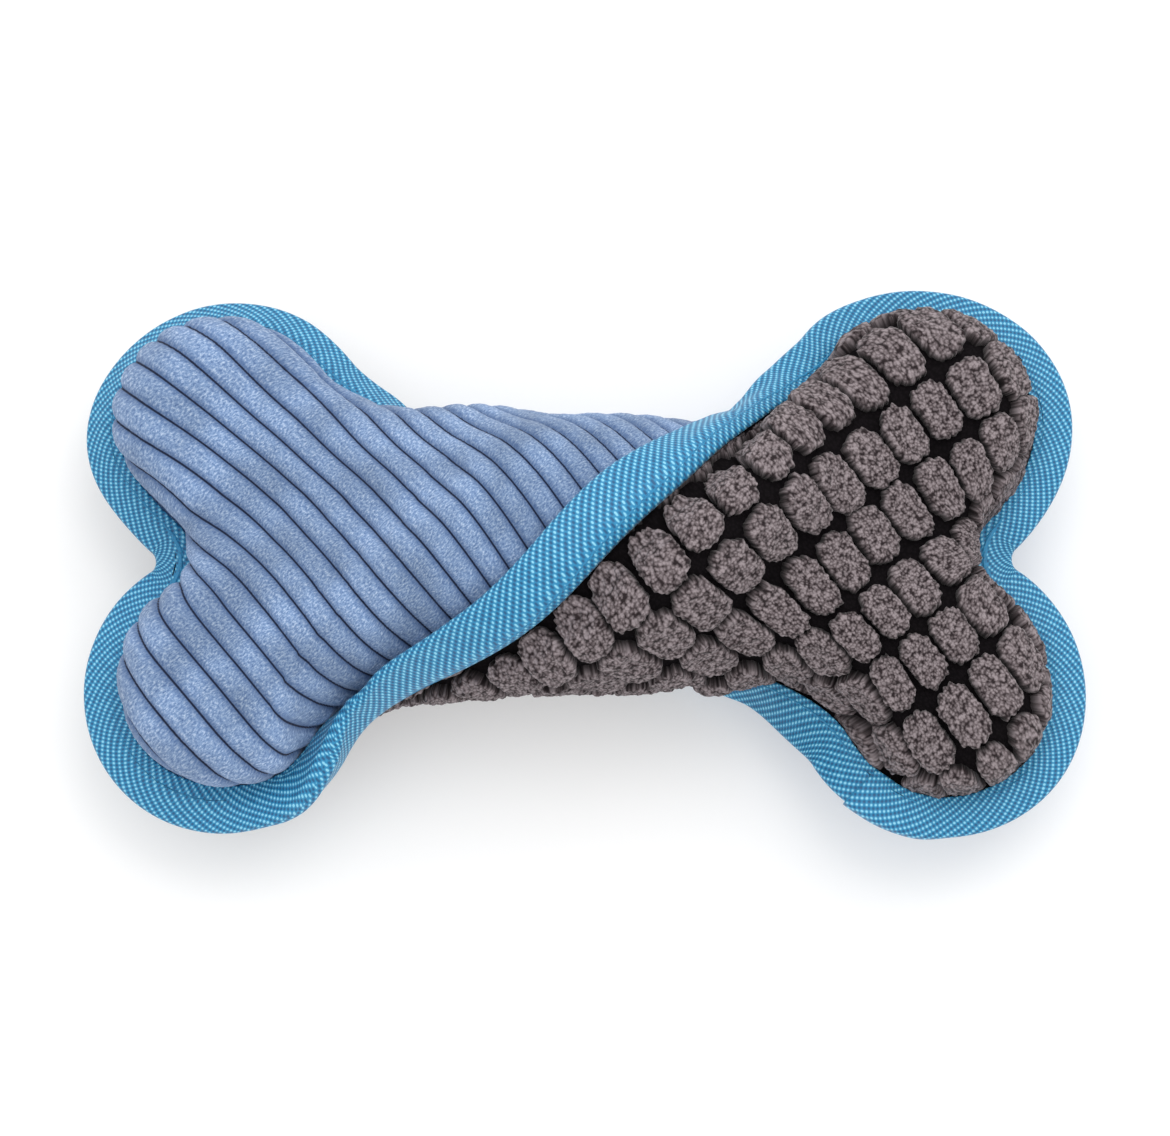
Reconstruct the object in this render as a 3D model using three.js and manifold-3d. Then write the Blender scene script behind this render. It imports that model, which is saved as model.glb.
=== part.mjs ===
// A twisted, stuffed, bone-shaped dog toy with a squeaker, in millimetres, +Z up, lying on the floor.
import * as THREE from "three";
import { mergeVertices } from "three/addons/utils/BufferGeometryUtils.js";
import Module from "manifold-3d";

// Outline of the seam, laid flat before the twist
const seamLength = 207;
const seamWidth = 104;
const lobeRadius = 22.5;
const notchDepth = 15.5;
const waistWidth = 53;
const shoulderRadius = 35;

// Stuffed form
const lobeRise = 26;
const waistRise = 31;
const notchDip = 0.12;
const notchSpread = 0.4;
const waistRoundness = 2;
const lobeRoundness = 3.2;
const endRoundness = 8;
const waistCrownEnds = 0.2;
const lobeCrownStarts = 0.6;
const floorFlat = 0.5;
const sideBulge = 5.5;
const bulgeFull = 0.42;
const bulgeFalls = 0.55;
const leanFree = 6;
const leanPressed = 40;
const lobeAxisHeight = 24;
const waistAxisHeight = 36;

// Half turn between the two ends, whose middle lies towards the right end
const twistTurn = Math.PI;
const twistHalfLength = 70;
const twistMiddle = 10.5;

// Cloth, tape and thread
const corduroyPile = 2.6;
const plushPile = 4.5;
const seamCloth = 1.2;
const tapeThickness = 0.9;
const finWidth = 11.5;
const tapeStart = 2.5;
const tapeBendEnd = 5;
const tapeLap = 14;
const rawEdgeGap = 0.9;
const threadDiameter = 0.8;
const stitchInset = 2;

// Plush tufts, as steps [along, across] on the cloth of the unrolled waist
const tuftLong = [9.96, -12.58];
const tuftWide = [8.22, 7.54];
const tuftStart = [53.5, 14];
const tuftRise = 3.2;
const tuftRidge = 0.24;
const tuftMargin = 4;
const tuftReach = 20;
const tuftSettle = 0.25;
const tubeRadius = 27.4;

// Squeaker
const squeakerDiameter = 34;
const squeakerHeight = 24;
const squeakerWall = 1.6;
const squeakerInset = 44;
const pleatDepth = 3;
const pleatCount = 3;
const bellowsWall = 1;
const socketDiameter = 14;
const socketHeight = 7;
const shankDiameter = 10;
const plugHeadDiameter = 15;
const plugHeadHeight = 1.6;
const airHoleDiameter = 4;
const reedLength = 8;
const reedWidth = 4.4;
const reedThickness = 0.4;

// Clearances
const clearance = 0.3;
const fillClearance = 0.5;

// Mesh steps
const stepsAlong = 27;
const stepsAcross = 12;
const roundSteps = 24;

// How far the taped edge leans over at points along the toy: [x, degrees towards the corduroy]
const frontLean = [
  [-98, -5],
  [-86, 4],
  [-74, 28],
  [-62, 60],
  [-50, 84],
  [-36, 92],
  [0, 92],
  [11, 86],
  [20, 52],
  [28, 8],
  [36, -34],
  [46, -28],
  [58, -15],
  [70, -8],
  [98, 0],
];
const backLean = [
  [-98, -25],
  [-66, -25],
  [-52, -30],
  [-38, -50],
  [-22, -78],
  [0, -86],
  [12, -82],
  [20, -56],
  [27, -4],
  [34, 26],
  [40, 24],
  [46, 8],
  [54, -4],
  [70, 0],
  [98, 0],
];
// The same on the two end edges, from the lower lobe to the upper one: [y, degrees]
const leftLean = [
  [-46, -5],
  [0, -12],
  [46, -25],
];
const rightLean = [
  [-46, 0],
  [46, 0],
];

// Where the stuffing pushes the toy off its even outline: [x, y, shift in x, shift in y, spread of the shift]
const pushes = [
  [53, 46, -3.9, 3.9, 15],
  [75, 62, 0.6, 1, 13],
  [104, 10, -2.6, 1.4, 11],
  [111, -49, 0.8, -1, 14],
  [1, 3, -1, 1.6, 13],
  [-46, 40, 1.3, 1.3, 10],
  [-113, 30, -1.8, 0, 14],
  [-104, 9, 2, 1, 10],
  [-55, -46, 2.7, -2.3, 14],
];

const wasm = await Module();
wasm.setup();

const mix = (from, to, share) => from + (to - from) * share;

const lobeX = seamLength / 2 - lobeRadius;
const lobeY = seamWidth / 2 - lobeRadius;
const waistHalf = waistWidth / 2;
const notchX = seamLength / 2 - notchDepth;
const cornerX = lobeX + lobeRadius * Math.SQRT1_2;
const cornerY = lobeY + lobeRadius * Math.SQRT1_2;

// The shoulder arcs and the notch arc touch the lobe circles, and the waist between the shoulders is straight
const shoulderY = waistHalf + shoulderRadius;
const shoulderX = lobeX - Math.sqrt((lobeRadius + shoulderRadius) ** 2 - (shoulderY - lobeY) ** 2);
const shoulderMeet = mix(shoulderX, lobeX, shoulderRadius / (lobeRadius + shoulderRadius));
const notchStep = notchX - lobeX;
const notchArc = (notchStep ** 2 + lobeY ** 2 - lobeRadius ** 2) / (2 * (lobeRadius - notchStep));
const notchArcX = notchX + notchArc;
const notchMeet = lobeY * (1 - lobeRadius / (lobeRadius + notchArc));

const clothHalf = clearance / 2 + seamCloth;
const tapeInner = clothHalf + clearance;
const tapeOuter = tapeInner + tapeThickness;
const clothEnd = finWidth - tapeThickness - rawEdgeGap;

function ease(from, to, value) {
  const share = THREE.MathUtils.clamp((value - from) / (to - from), 0, 1);
  return share * share * (3 - 2 * share);
}

// Value between two neighbours of a list of [place, value]
function along(list, place) {
  const last = list[list.length - 1];
  if (place <= list[0][0]) return list[0][1];
  if (place >= last[0]) return last[1];
  const next = list.findIndex(([at]) => at > place);
  const [fromPlace, fromValue] = list[next - 1];
  const [toPlace, toValue] = list[next];
  return mix(fromValue, toValue, ease(fromPlace, toPlace, place));
}

// Half width of the seam outline at x, and half length at y
function sideEdge(x) {
  const distance = Math.abs(x);
  if (distance < shoulderX) return waistHalf;
  if (distance < shoulderMeet) return shoulderY - Math.sqrt(shoulderRadius ** 2 - (distance - shoulderX) ** 2);
  return lobeY + Math.sqrt(lobeRadius ** 2 - (distance - lobeX) ** 2);
}

function endEdge(y) {
  const distance = Math.abs(y);
  if (distance < notchMeet) return notchArcX - Math.sqrt(notchArc ** 2 - distance ** 2);
  return lobeX + Math.sqrt(lobeRadius ** 2 - (distance - lobeY) ** 2);
}

// a and b run from -1 to 1 along and across the flat outline
const flatX = (a, b) => a * endEdge(cornerY * b);
const flatY = (a, b) => b * sideEdge(cornerX * a);

// How far the crown passes from the waist's form to the lobes', and 0 on the seam to 1 on the crown
const towardsLobe = (a) => ease(waistCrownEnds, lobeCrownStarts, Math.abs(a));

function edgeShare(a, b) {
  const roundness = mix(waistRoundness, lobeRoundness, towardsLobe(a));
  return Math.sqrt(Math.max((1 - Math.abs(a) ** endRoundness) * (1 - Math.abs(b) ** roundness), 0));
}

// Half thickness of the stuffed toy
function rise(a, b) {
  const lobe = lobeRise * (1 - notchDip * Math.exp(-((b / notchSpread) ** 2)));
  return clothHalf + mix(waistRise, lobe, towardsLobe(a)) * edgeShare(a, b);
}

// Lean of the taped edge beside a point of the toy, in degrees towards the corduroy
function leanNear(a, b) {
  if (Math.abs(b) >= Math.abs(a)) return along(b < 0 ? frontLean : backLean, flatX(a, b));
  return along(a < 0 ? leftLean : rightLean, flatY(a, b));
}

// The stuffing pushes the cloth out over its seam, but not where the taped edge lies against it
function swell(a, b, side) {
  const share = edgeShare(a, b);
  const free = 1 - ease(leanFree, leanPressed, side * leanNear(a, b));
  return sideBulge * free * ease(0, bulgeFull, share) * (1 - ease(bulgeFalls, 1, share));
}

const twist = (x) => {
  const place = THREE.MathUtils.clamp(x / twistHalfLength, -1, 1);
  const share = place - (twistMiddle / twistHalfLength) * (1 - place ** 2);
  return -(twistTurn / 2) * (1 + 1.5 * share - 0.5 * share ** 3);
};

// The middle line falls from the waist to the lobes, which rest on the floor, the left ones on their tufts
const axisHeight = (x) => {
  const fall = ease(waistCrownEnds * lobeX, lobeX, Math.abs(x));
  return mix(waistAxisHeight, lobeAxisHeight - (x < 0 ? tuftSettle : 0), fall);
};

// A point of the flat toy, turned by the twist and pushed by the stuffing; up is towards the corduroy
function place(x, y, up) {
  const turn = twist(x);
  const turnedY = y * Math.cos(turn) - up * Math.sin(turn);
  const turnedZ = y * Math.sin(turn) + up * Math.cos(turn);
  const point = new THREE.Vector3(x, turnedY, turnedZ + axisHeight(x));
  for (const [atX, atY, shiftX, shiftY, spread] of pushes) {
    const share = Math.exp(-((x - atX) ** 2 + (turnedY - atY) ** 2) / (2 * spread ** 2));
    point.x += shiftX * share;
    point.y += shiftY * share;
  }
  return point;
}

// A point below the stuffed surface by depth; side is 1 for the corduroy and -1 for the plush
function skinPoint(a, b, side, depth) {
  const step = 1e-4;
  const at = (p, q) => new THREE.Vector3(flatX(p, q), flatY(p, q), side * rise(p, q));
  const alongA = at(a + step, b).sub(at(a - step, b));
  const alongB = at(a, b + step).sub(at(a, b - step));
  const normal = alongA.cross(alongB).normalize().multiplyScalar(side);
  return at(a, b).addScaledVector(normal, swell(a, b, side) - depth);
}

const placed = (point) => place(point.x, point.y, point.z);

// Grid lines, closer together towards the edges
const gridA = [];
for (let i = 0; i <= stepsAlong; i += 1) {
  const share = (2 * i) / stepsAlong - 1;
  gridA.push(mix(share, Math.sin((share * Math.PI) / 2), 0.5));
}
const gridB = [];
for (let j = 0; j <= stepsAcross; j += 1) {
  const share = (2 * j) / stepsAcross - 1;
  gridB.push(Math.sin((share * Math.PI) / 2));
}

// A loop of grid points, on the seam or inset from it: lower edge, right end, upper edge, left end
function gridLoop(inset) {
  const [lastI, lastJ] = [stepsAlong - inset, stepsAcross - inset];
  const points = [];
  for (let i = inset; i < lastI; i += 1) points.push([i, inset]);
  for (let j = inset; j < lastJ; j += 1) points.push([lastI, j]);
  for (let i = lastI; i > inset; i -= 1) points.push([i, lastJ]);
  for (let j = lastJ; j > inset; j -= 1) points.push([inset, j]);
  return points;
}

const loop = gridLoop(0);

function seamLean(i, j) {
  const x = flatX(gridA[i], gridB[j]);
  if (j === 0) return along(frontLean, x);
  if (j === stepsAcross) return along(backLean, x);
  return along(i === 0 ? leftLean : rightLean, flatY(gridA[i], gridB[j]));
}

// Each seam point with its directions out of the toy and towards the corduroy, and the lean there
const seam = loop.map(([i, j]) => ({
  point: place(flatX(gridA[i], gridB[j]), flatY(gridA[i], gridB[j]), 0),
  inside: place(flatX(gridA[i] * 0.98, gridB[j] * 0.96), flatY(gridA[i] * 0.98, gridB[j] * 0.96), 0),
  lifted: place(flatX(gridA[i], gridB[j]), flatY(gridA[i], gridB[j]), 1),
  lean: THREE.MathUtils.degToRad(seamLean(i, j)),
}));
seam.forEach((spot, k) => {
  const before = seam[(k + seam.length - 1) % seam.length];
  const after = seam[(k + 1) % seam.length];
  spot.run = after.point.clone().sub(before.point).normalize();
  spot.out = spot.point.clone().sub(spot.inside);
  spot.out.addScaledVector(spot.run, -spot.out.dot(spot.run)).normalize();
  spot.front = spot.run.clone().cross(spot.out);
  if (spot.front.dot(spot.lifted.clone().sub(spot.point)) < 0) spot.front.negate();
});

// A point of the taped edge: reach from the seam and offset from its middle surface
function finPoint(spot, reach, offset) {
  const stretches = [
    [tapeStart, 0.1],
    [tapeBendEnd - tapeStart, 0.6],
    [finWidth, 1],
  ];
  const point = spot.point.clone();
  let left = reach;
  let angle = 0;
  for (const [length, share] of stretches) {
    const used = Math.min(left, length);
    angle = spot.lean * share;
    point.addScaledVector(spot.out, used * Math.cos(angle));
    point.addScaledVector(spot.front, used * Math.sin(angle));
    left -= used;
    if (left <= 1e-9) break;
  }
  const bends = [
    [0, 0],
    [tapeStart, 0.35],
    [tapeBendEnd, 0.8],
    [(finWidth + tapeBendEnd) / 2, 1],
  ];
  const facing = spot.lean * along(bends, reach);
  point.addScaledVector(spot.front, offset * Math.cos(facing));
  point.addScaledVector(spot.out, -offset * Math.sin(facing));
  return point;
}

// A closed mesh from points and faces
class Builder {
  constructor() {
    this.points = [];
    this.faces = [];
  }

  add(point) {
    this.points.push(point.x, point.y, point.z);
    return this.points.length / 3 - 1;
  }

  quad(a, b, c, d, flip = false) {
    if (flip) this.faces.push(a, c, b, a, d, c);
    else this.faces.push(a, b, c, a, c, d);
  }

  // one cell of a grid, halved along the twist
  cell(grid, i, j, side, flip) {
    const [a, b, c, d] = [grid[i][j], grid[i + 1][j], grid[i + 1][j + 1], grid[i][j + 1]];
    if (side > 0) this.quad(b, c, d, a, flip);
    else this.quad(a, b, c, d, flip);
  }

  geometry() {
    const made = new THREE.BufferGeometry();
    made.setAttribute("position", new THREE.Float32BufferAttribute(this.points, 3));
    made.setIndex(this.faces);
    return made;
  }
}

function solidOf(geometry) {
  const plain = geometry.clone();
  plain.deleteAttribute("normal");
  plain.deleteAttribute("uv");
  const merged = mergeVertices(plain, 1e-4);
  return new wasm.Manifold(new wasm.Mesh({
    numProp: 3,
    vertProperties: merged.attributes.position.array,
    triVerts: new Uint32Array(merged.index.array),
  }));
}

function geometryOf(solid) {
  const mesh = solid.getMesh();
  const made = new THREE.BufferGeometry();
  made.setAttribute("position", new THREE.BufferAttribute(mesh.vertProperties, 3));
  made.setIndex(new THREE.BufferAttribute(mesh.triVerts, 1));
  return made;
}

// Triangles between flat points, as even as they can be (Delaunay)
function triangulate(points) {
  const far = 100 * seamLength;
  const all = [...points, [-far, -far], [far, -far], [0, far]];
  const inCircle = (corners, [x, y]) => {
    const [a, b, c] = corners.map((n) => new THREE.Vector3(all[n][0] - x, all[n][1] - y, 0));
    [a, b, c].forEach((side) => side.setZ(side.lengthSq()));
    return a.dot(b.cross(c)) > 0;
  };
  let found = [[points.length, points.length + 1, points.length + 2]];
  points.forEach((point, n) => {
    const rim = new Map();
    found = found.filter((corners) => {
      if (!inCircle(corners, point)) return true;
      corners.forEach((from, c) => {
        const to = corners[(c + 1) % 3];
        if (!rim.delete(`${to} ${from}`)) rim.set(`${from} ${to}`, [from, to]);
      });
      return false;
    });
    rim.forEach(([from, to]) => found.push([from, to, n]));
  });
  return found.filter((corners) => corners.every((n) => n < points.length));
}

// a and b of a point of the flat toy
function gridPlace(x, y) {
  const within = (value) => THREE.MathUtils.clamp(value, -1, 1);
  let [a, b] = [x / notchX, 0];
  for (let n = 0; n < 40; n += 1) {
    b = y / sideEdge(cornerX * within(a));
    a = x / endEdge(cornerY * within(b));
  }
  return [a, b];
}

const unrolled = (x, y) => [x, -y - tubeRadius * (Math.PI + twist(x))];

// Whether a flat point is inside a rim of flat points
function isInside(rim, x, y) {
  return rim.reduce((inside, [fromX, fromY], n) => {
    const [toX, toY] = rim[(n + 1) % rim.length];
    const passes = fromY > y !== toY > y && x < mix(fromX, toX, (y - fromY) / (toY - fromY));
    return passes ? !inside : inside;
  }, false);
}

// Whether a flat point keeps off a rim, so that each step of the rim stays an edge between triangles
function clearOf(rim, x, y) {
  return rim.every(([fromX, fromY], n) => {
    const [toX, toY] = rim[(n + 1) % rim.length];
    const fromMiddle = Math.hypot((fromX + toX) / 2 - x, (fromY + toY) / 2 - y);
    const half = Math.hypot(toX - fromX, toY - fromY) / 2;
    return fromMiddle > half && Math.hypot(fromX - x, fromY - y) > tuftMargin;
  });
}

// The tufted outer faces of the plush, inside the loop of grid points next to its seam
function tuftedSkin(built, grid) {
  const rim = gridLoop(1);
  const spots = rim.map(([i, j]) => unrolled(flatX(gridA[i], gridB[j]), flatY(gridA[i], gridB[j])));
  const vertices = rim.map(([i, j]) => grid[i][j]);
  const edge = [...spots];
  // the two ends of each tuft's ridge, the middle of one long side and one corner
  const half = tuftRidge / 2;
  const corners = [[-half, 0, 0], [half, 0, 0], [0, 0.5, tuftRise], [0.5, 0.5, tuftRise]];
  for (let i = -tuftReach; i <= tuftReach; i += 1) {
    for (let j = -tuftReach; j <= tuftReach; j += 1) {
      corners.forEach(([stepI, stepJ, depth]) => {
        const x = tuftStart[0] + (i + stepI) * tuftLong[0] + (j + stepJ) * tuftWide[0];
        const across = tuftStart[1] + (i + stepI) * tuftLong[1] + (j + stepJ) * tuftWide[1];
        if (!isInside(edge, x, across) || !clearOf(edge, x, across)) return;
        const [a, b] = gridPlace(x, -across - tubeRadius * (Math.PI + twist(x)));
        spots.push([x, across]);
        vertices.push(built.add(placed(skinPoint(a, b, -1, depth))));
      });
    }
  }
  triangulate(spots).forEach((triangle) => {
    const middle = [0, 1].map((n) => triangle.reduce((sum, corner) => sum + spots[corner][n], 0) / 3);
    if (isInside(edge, ...middle)) built.faces.push(...triangle.map((corner) => vertices[corner]));
  });
}

// One cloth panel: stuffed skin and its seam allowance inside the tape
function panel(side, pile) {
  const built = new Builder();
  const reaches = [0, tapeStart, tapeBendEnd, clothEnd];
  const layers = [clothHalf, clearance / 2].map((edgeOffset, layer) => {
    const grid = gridA.map(() => []);
    const offset = side * edgeOffset;
    const rings = reaches.map((reach) => seam.map((spot) => built.add(finPoint(spot, reach, offset))));
    const tufted = side < 0 && layer === 0;
    const flip = (side < 0) !== (layer === 1);
    loop.forEach(([i, j], k) => {
      grid[i][j] = rings[0][k];
    });
    for (let i = 1; i < stepsAlong; i += 1) {
      for (let j = 1; j < stepsAcross; j += 1) {
        if (tufted && Math.min(i, j, stepsAlong - i, stepsAcross - j) > 1) continue;
        grid[i][j] = built.add(placed(skinPoint(gridA[i], gridB[j], side, layer * pile)));
      }
    }
    for (let i = 0; i < stepsAlong; i += 1) {
      for (let j = 0; j < stepsAcross; j += 1) {
        if (tufted && Math.min(i, j, stepsAlong - 1 - i, stepsAcross - 1 - j) > 0) continue;
        built.cell(grid, i, j, side, flip);
      }
    }
    if (tufted) tuftedSkin(built, grid);
    for (let ring = 0; ring + 1 < rings.length; ring += 1) {
      for (let k = 0; k < seam.length; k += 1) {
        const next = (k + 1) % seam.length;
        built.quad(rings[ring][k], rings[ring + 1][k], rings[ring + 1][next], rings[ring][next], flip);
      }
    }
    return rings;
  });
  const outer = layers[0][reaches.length - 1];
  const inner = layers[1][reaches.length - 1];
  for (let k = 0; k < seam.length; k += 1) {
    const next = (k + 1) % seam.length;
    built.quad(outer[k], inner[k], inner[next], outer[next], side < 0);
  }
  return built.geometry();
}

// Seam point on the lower right lobe where the two ends of the tape lap
const lapStart = loop.findIndex(([i, j]) => j === stepsAcross && gridA[i] < 0.66);

// Corners of the folded tape's section: [reach, offset]
function tapeSection(extra) {
  const outside = tapeOuter + extra;
  const inside = tapeInner + extra;
  const fold = finWidth + extra;
  const web = fold - tapeThickness;
  const corner = tapeThickness * 0.8;
  const half = [
    [tapeStart, inside],
    [tapeStart, outside],
    [tapeBendEnd, outside],
    [fold - corner, outside],
    [fold, outside - corner],
  ];
  const back = half.map(([reach, offset]) => [reach, -offset]).reverse();
  return [
    ...half,
    ...back,
    [tapeBendEnd, -inside],
    [clothEnd, -inside],
    [web, -inside],
    [web, inside],
    [clothEnd, inside],
    [tapeBendEnd, inside],
  ];
}

// The binding tape, folded over the raw edges in one strip whose end laps over its start
function bindingTape() {
  const built = new Builder();
  const rings = [];
  const stations = [];
  for (let k = 0; k <= seam.length; k += 1) stations.push((lapStart + k) % seam.length);
  let lapped = 0;
  while (lapped < tapeLap) {
    const at = stations[stations.length - 1];
    const next = (at + 1) % seam.length;
    lapped += seam[at].point.distanceTo(seam[next].point);
    stations.push(next);
  }
  stations.forEach((k, n) => {
    const extra = n >= seam.length ? tapeThickness + clearance : 0;
    rings.push(tapeSection(extra).map(([reach, offset]) => built.add(finPoint(seam[k], reach, offset))));
  });
  const section = tapeSection(0);
  const corners = section.length;
  for (let n = 0; n + 1 < rings.length; n += 1) {
    for (let c = 0; c < corners; c += 1) {
      const d = (c + 1) % corners;
      // each face is halved the same way as the cloth beside it
      const [near, far] = [rings[n], rings[n + 1]];
      if (section[d][0] >= section[c][0]) built.quad(near[c], near[d], far[d], far[c]);
      else built.quad(near[d], far[d], far[c], near[c]);
    }
  }
  const cap = THREE.ShapeUtils.triangulateShape(
    tapeSection(0).map(([reach, offset]) => new THREE.Vector2(reach, offset)),
    [],
  );
  const first = rings[0];
  const last = rings[rings.length - 1];
  cap.forEach(([a, b, c]) => {
    built.faces.push(first[a], first[b], first[c]);
    built.faces.push(last[a], last[c], last[b]);
  });
  return built.geometry();
}

// One thread of the lockstitch, along the tape on one side
function thread(side) {
  const built = new Builder();
  const radius = threadDiameter / 2;
  const rings = seam.map((spot, k) => {
    const past = (k + seam.length - lapStart) % seam.length;
    const nearLap = past <= 3 || past === seam.length - 1;
    const extra = nearLap ? tapeThickness + clearance : 0;
    const height = tapeOuter + extra + clearance + radius;
    const reach = tapeStart + stitchInset;
    const corners = [[radius, 0], [0, radius], [-radius, 0], [0, -radius]];
    return corners.map(([r, o]) => built.add(finPoint(spot, reach + r, side * (height + o))));
  });
  rings.forEach((ring, k) => {
    const next = rings[(k + 1) % rings.length];
    for (let c = 0; c < ring.length; c += 1) {
      const d = (c + 1) % ring.length;
      built.quad(ring[c], next[c], next[d], ring[d], side < 0);
    }
  });
  return built.geometry();
}

// One wad of stuffing, on one side of the middle surface, between two grid lines
function wad(from, to, side, pile) {
  const built = new Builder();
  const gapA = clearance / 2 / (seamLength / 2);
  const lines = [];
  for (let i = from; i <= to; i += 1) {
    let a = gridA[i];
    if (i === from && from > 1) a += gapA;
    if (i === to && to < stepsAlong - 1) a -= gapA;
    lines.push(a);
  }
  const top = [];
  const floor = [];
  lines.forEach((a, i) => {
    top.push([]);
    floor.push([]);
    for (let j = 1; j < stepsAcross; j += 1) {
      const depth = pile + fillClearance + swell(a, gridB[j], side);
      const point = skinPoint(a, gridB[j], side, depth);
      top[i].push(built.add(placed(point)));
      floor[i].push(built.add(place(point.x, point.y, side * fillClearance)));
    }
  });
  const rows = lines.length - 1;
  const columns = stepsAcross - 2;
  const flip = side < 0;
  for (let i = 0; i < rows; i += 1) {
    for (let j = 0; j < columns; j += 1) {
      built.cell(top, i, j, side, flip);
      built.quad(floor[i][j], floor[i][j + 1], floor[i + 1][j + 1], floor[i + 1][j], flip);
    }
    built.quad(floor[i][0], floor[i + 1][0], top[i + 1][0], top[i][0], flip);
    built.quad(floor[i + 1][columns], floor[i][columns], top[i][columns], top[i + 1][columns], flip);
  }
  for (let j = 0; j < columns; j += 1) {
    built.quad(floor[0][j], top[0][j], top[0][j + 1], floor[0][j + 1], flip);
    built.quad(floor[rows][j], floor[rows][j + 1], top[rows][j + 1], top[rows][j], flip);
  }
  return built.geometry();
}

// A turned piece about the squeaker's axis from [radius, height] corners, which run anticlockwise
function turned(corners) {
  const points = corners.map(([radius, height]) => new THREE.Vector2(radius, height));
  points.push(points[0].clone());
  const made = new THREE.LatheGeometry(points, roundSteps);
  made.rotateX(Math.PI / 2);
  made.translate(squeakerPlace, 0, squeakerMiddle);
  return mergeVertices(made.deleteAttribute("normal").deleteAttribute("uv"), 1e-4);
}

const squeakerPlace = squeakerInset - seamLength / 2;
const squeakerMiddle = axisHeight(squeakerPlace) + fillClearance;
const squeakerRadius = squeakerDiameter / 2;
const baseUnder = -squeakerHeight / 2;
const baseTop = baseUnder + squeakerWall;
const lidUnder = squeakerHeight / 2 - squeakerWall;
const socketTop = baseTop + socketHeight;
const shankRadius = shankDiameter / 2;
const socketBore = shankRadius + clearance;
const plugTop = socketTop - clearance;
const headTop = baseUnder - clearance;
const airRadius = airHoleDiameter / 2;

function squeakerBase() {
  return turned([
    [socketBore, baseUnder],
    [squeakerRadius, baseUnder],
    [squeakerRadius, baseTop],
    [socketDiameter / 2, baseTop],
    [socketDiameter / 2, socketTop],
    [socketBore, socketTop],
  ]);
}

function squeakerLid() {
  return turned([
    [0, lidUnder],
    [squeakerRadius - squeakerWall, lidUnder],
    [squeakerRadius, lidUnder + squeakerWall / 2],
    [squeakerRadius - squeakerWall, lidUnder + squeakerWall],
    [0, lidUnder + squeakerWall],
  ]);
}

// The pleated wall, as thick everywhere as its bellowsWall measured level
function squeakerBellows() {
  const low = baseTop + clearance;
  const high = lidUnder - clearance;
  const steps = 2 * pleatCount;
  const outline = [];
  for (let n = 0; n <= steps; n += 1) {
    const radius = squeakerRadius - squeakerWall - (n % 2 ? 0 : pleatDepth);
    outline.push([radius, mix(low, high, n / steps)]);
  }
  const inside = outline.map(([radius, height]) => [radius - bellowsWall, height]).reverse();
  return turned([...outline, ...inside]);
}

function squeakerPlug() {
  return turned([
    [airRadius, headTop - plugHeadHeight],
    [plugHeadDiameter / 2, headTop - plugHeadHeight],
    [plugHeadDiameter / 2, headTop],
    [shankRadius, headTop],
    [shankRadius, plugTop],
    [airRadius, plugTop],
  ]);
}

function squeakerReed() {
  const made = new THREE.BoxGeometry(reedLength, reedWidth, reedThickness);
  made.translate(squeakerPlace, 0, squeakerMiddle + plugTop + clearance + reedThickness / 2);
  return made;
}

// The hollow that the squeaker needs in the stuffing
function squeakerHollow() {
  const radius = squeakerRadius + fillClearance;
  const under = headTop - plugHeadHeight - fillClearance;
  return turned([
    [0, under],
    [plugHeadDiameter / 2 + fillClearance, under],
    [plugHeadDiameter / 2 + fillClearance, baseUnder - fillClearance],
    [radius, baseUnder - fillClearance],
    [radius, squeakerHeight / 2 + fillClearance],
    [0, squeakerHeight / 2 + fillClearance],
  ]);
}

const cloth = (color) => new THREE.MeshStandardMaterial({ color, roughness: 0.95 });
const plastic = (color) => new THREE.MeshStandardMaterial({ color, roughness: 0.4 });
const materials = {
  corduroy: cloth(0x7c97cc),
  plush: cloth(0x776b69),
  tape: cloth(0x2aa3dc),
  fill: cloth(0xf1efe9),
  bulb: plastic(0xf4f4f0),
  plug: plastic(0xe9e7df),
  reed: plastic(0xd9c9a4),
};

const leftLine = Math.round(stepsAlong * 0.36);
const rightLine = stepsAlong - leftLine;
const hollow = solidOf(squeakerHollow());
const hollowed = (geometry) => geometryOf(solidOf(geometry).subtract(hollow));

const pieces = [
  ["corduroy_panel", panel(1, corduroyPile), materials.corduroy],
  ["grid_plush_panel", panel(-1, plushPile), materials.plush],
  ["binding_tape", bindingTape(), materials.tape],
  ["needle_thread", thread(1), materials.tape],
  ["bobbin_thread", thread(-1), materials.tape],
  ["left_fill_corduroy_side", hollowed(wad(1, leftLine, 1, corduroyPile)), materials.fill],
  ["left_fill_plush_side", hollowed(wad(1, leftLine, -1, plushPile)), materials.fill],
  ["waist_fill_corduroy_side", wad(leftLine, rightLine, 1, corduroyPile), materials.fill],
  ["waist_fill_plush_side", wad(leftLine, rightLine, -1, plushPile), materials.fill],
  ["right_fill_corduroy_side", wad(rightLine, stepsAlong - 1, 1, corduroyPile), materials.fill],
  ["right_fill_plush_side", wad(rightLine, stepsAlong - 1, -1, plushPile), materials.fill],
  ["squeaker_base", squeakerBase(), materials.bulb],
  ["squeaker_bellows", squeakerBellows(), materials.bulb],
  ["squeaker_lid", squeakerLid(), materials.bulb],
  ["squeaker_plug", squeakerPlug(), materials.plug],
  ["squeaker_reed", squeakerReed(), materials.reed],
];

// The two panels are pressed flat where they rest, and the toy is moved to stand on the floor
const whole = new THREE.Box3();
pieces.forEach(([, geometry]) => {
  geometry.computeBoundingBox();
  whole.union(geometry.boundingBox);
});
const floorHeight = whole.min.z + floorFlat;
const below = new THREE.BoxGeometry(2 * seamLength, 2 * seamLength, 20);
below.translate(0, 0, floorHeight - 10);
const belowSolid = solidOf(below);
const middle = whole.getCenter(new THREE.Vector3());

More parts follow.
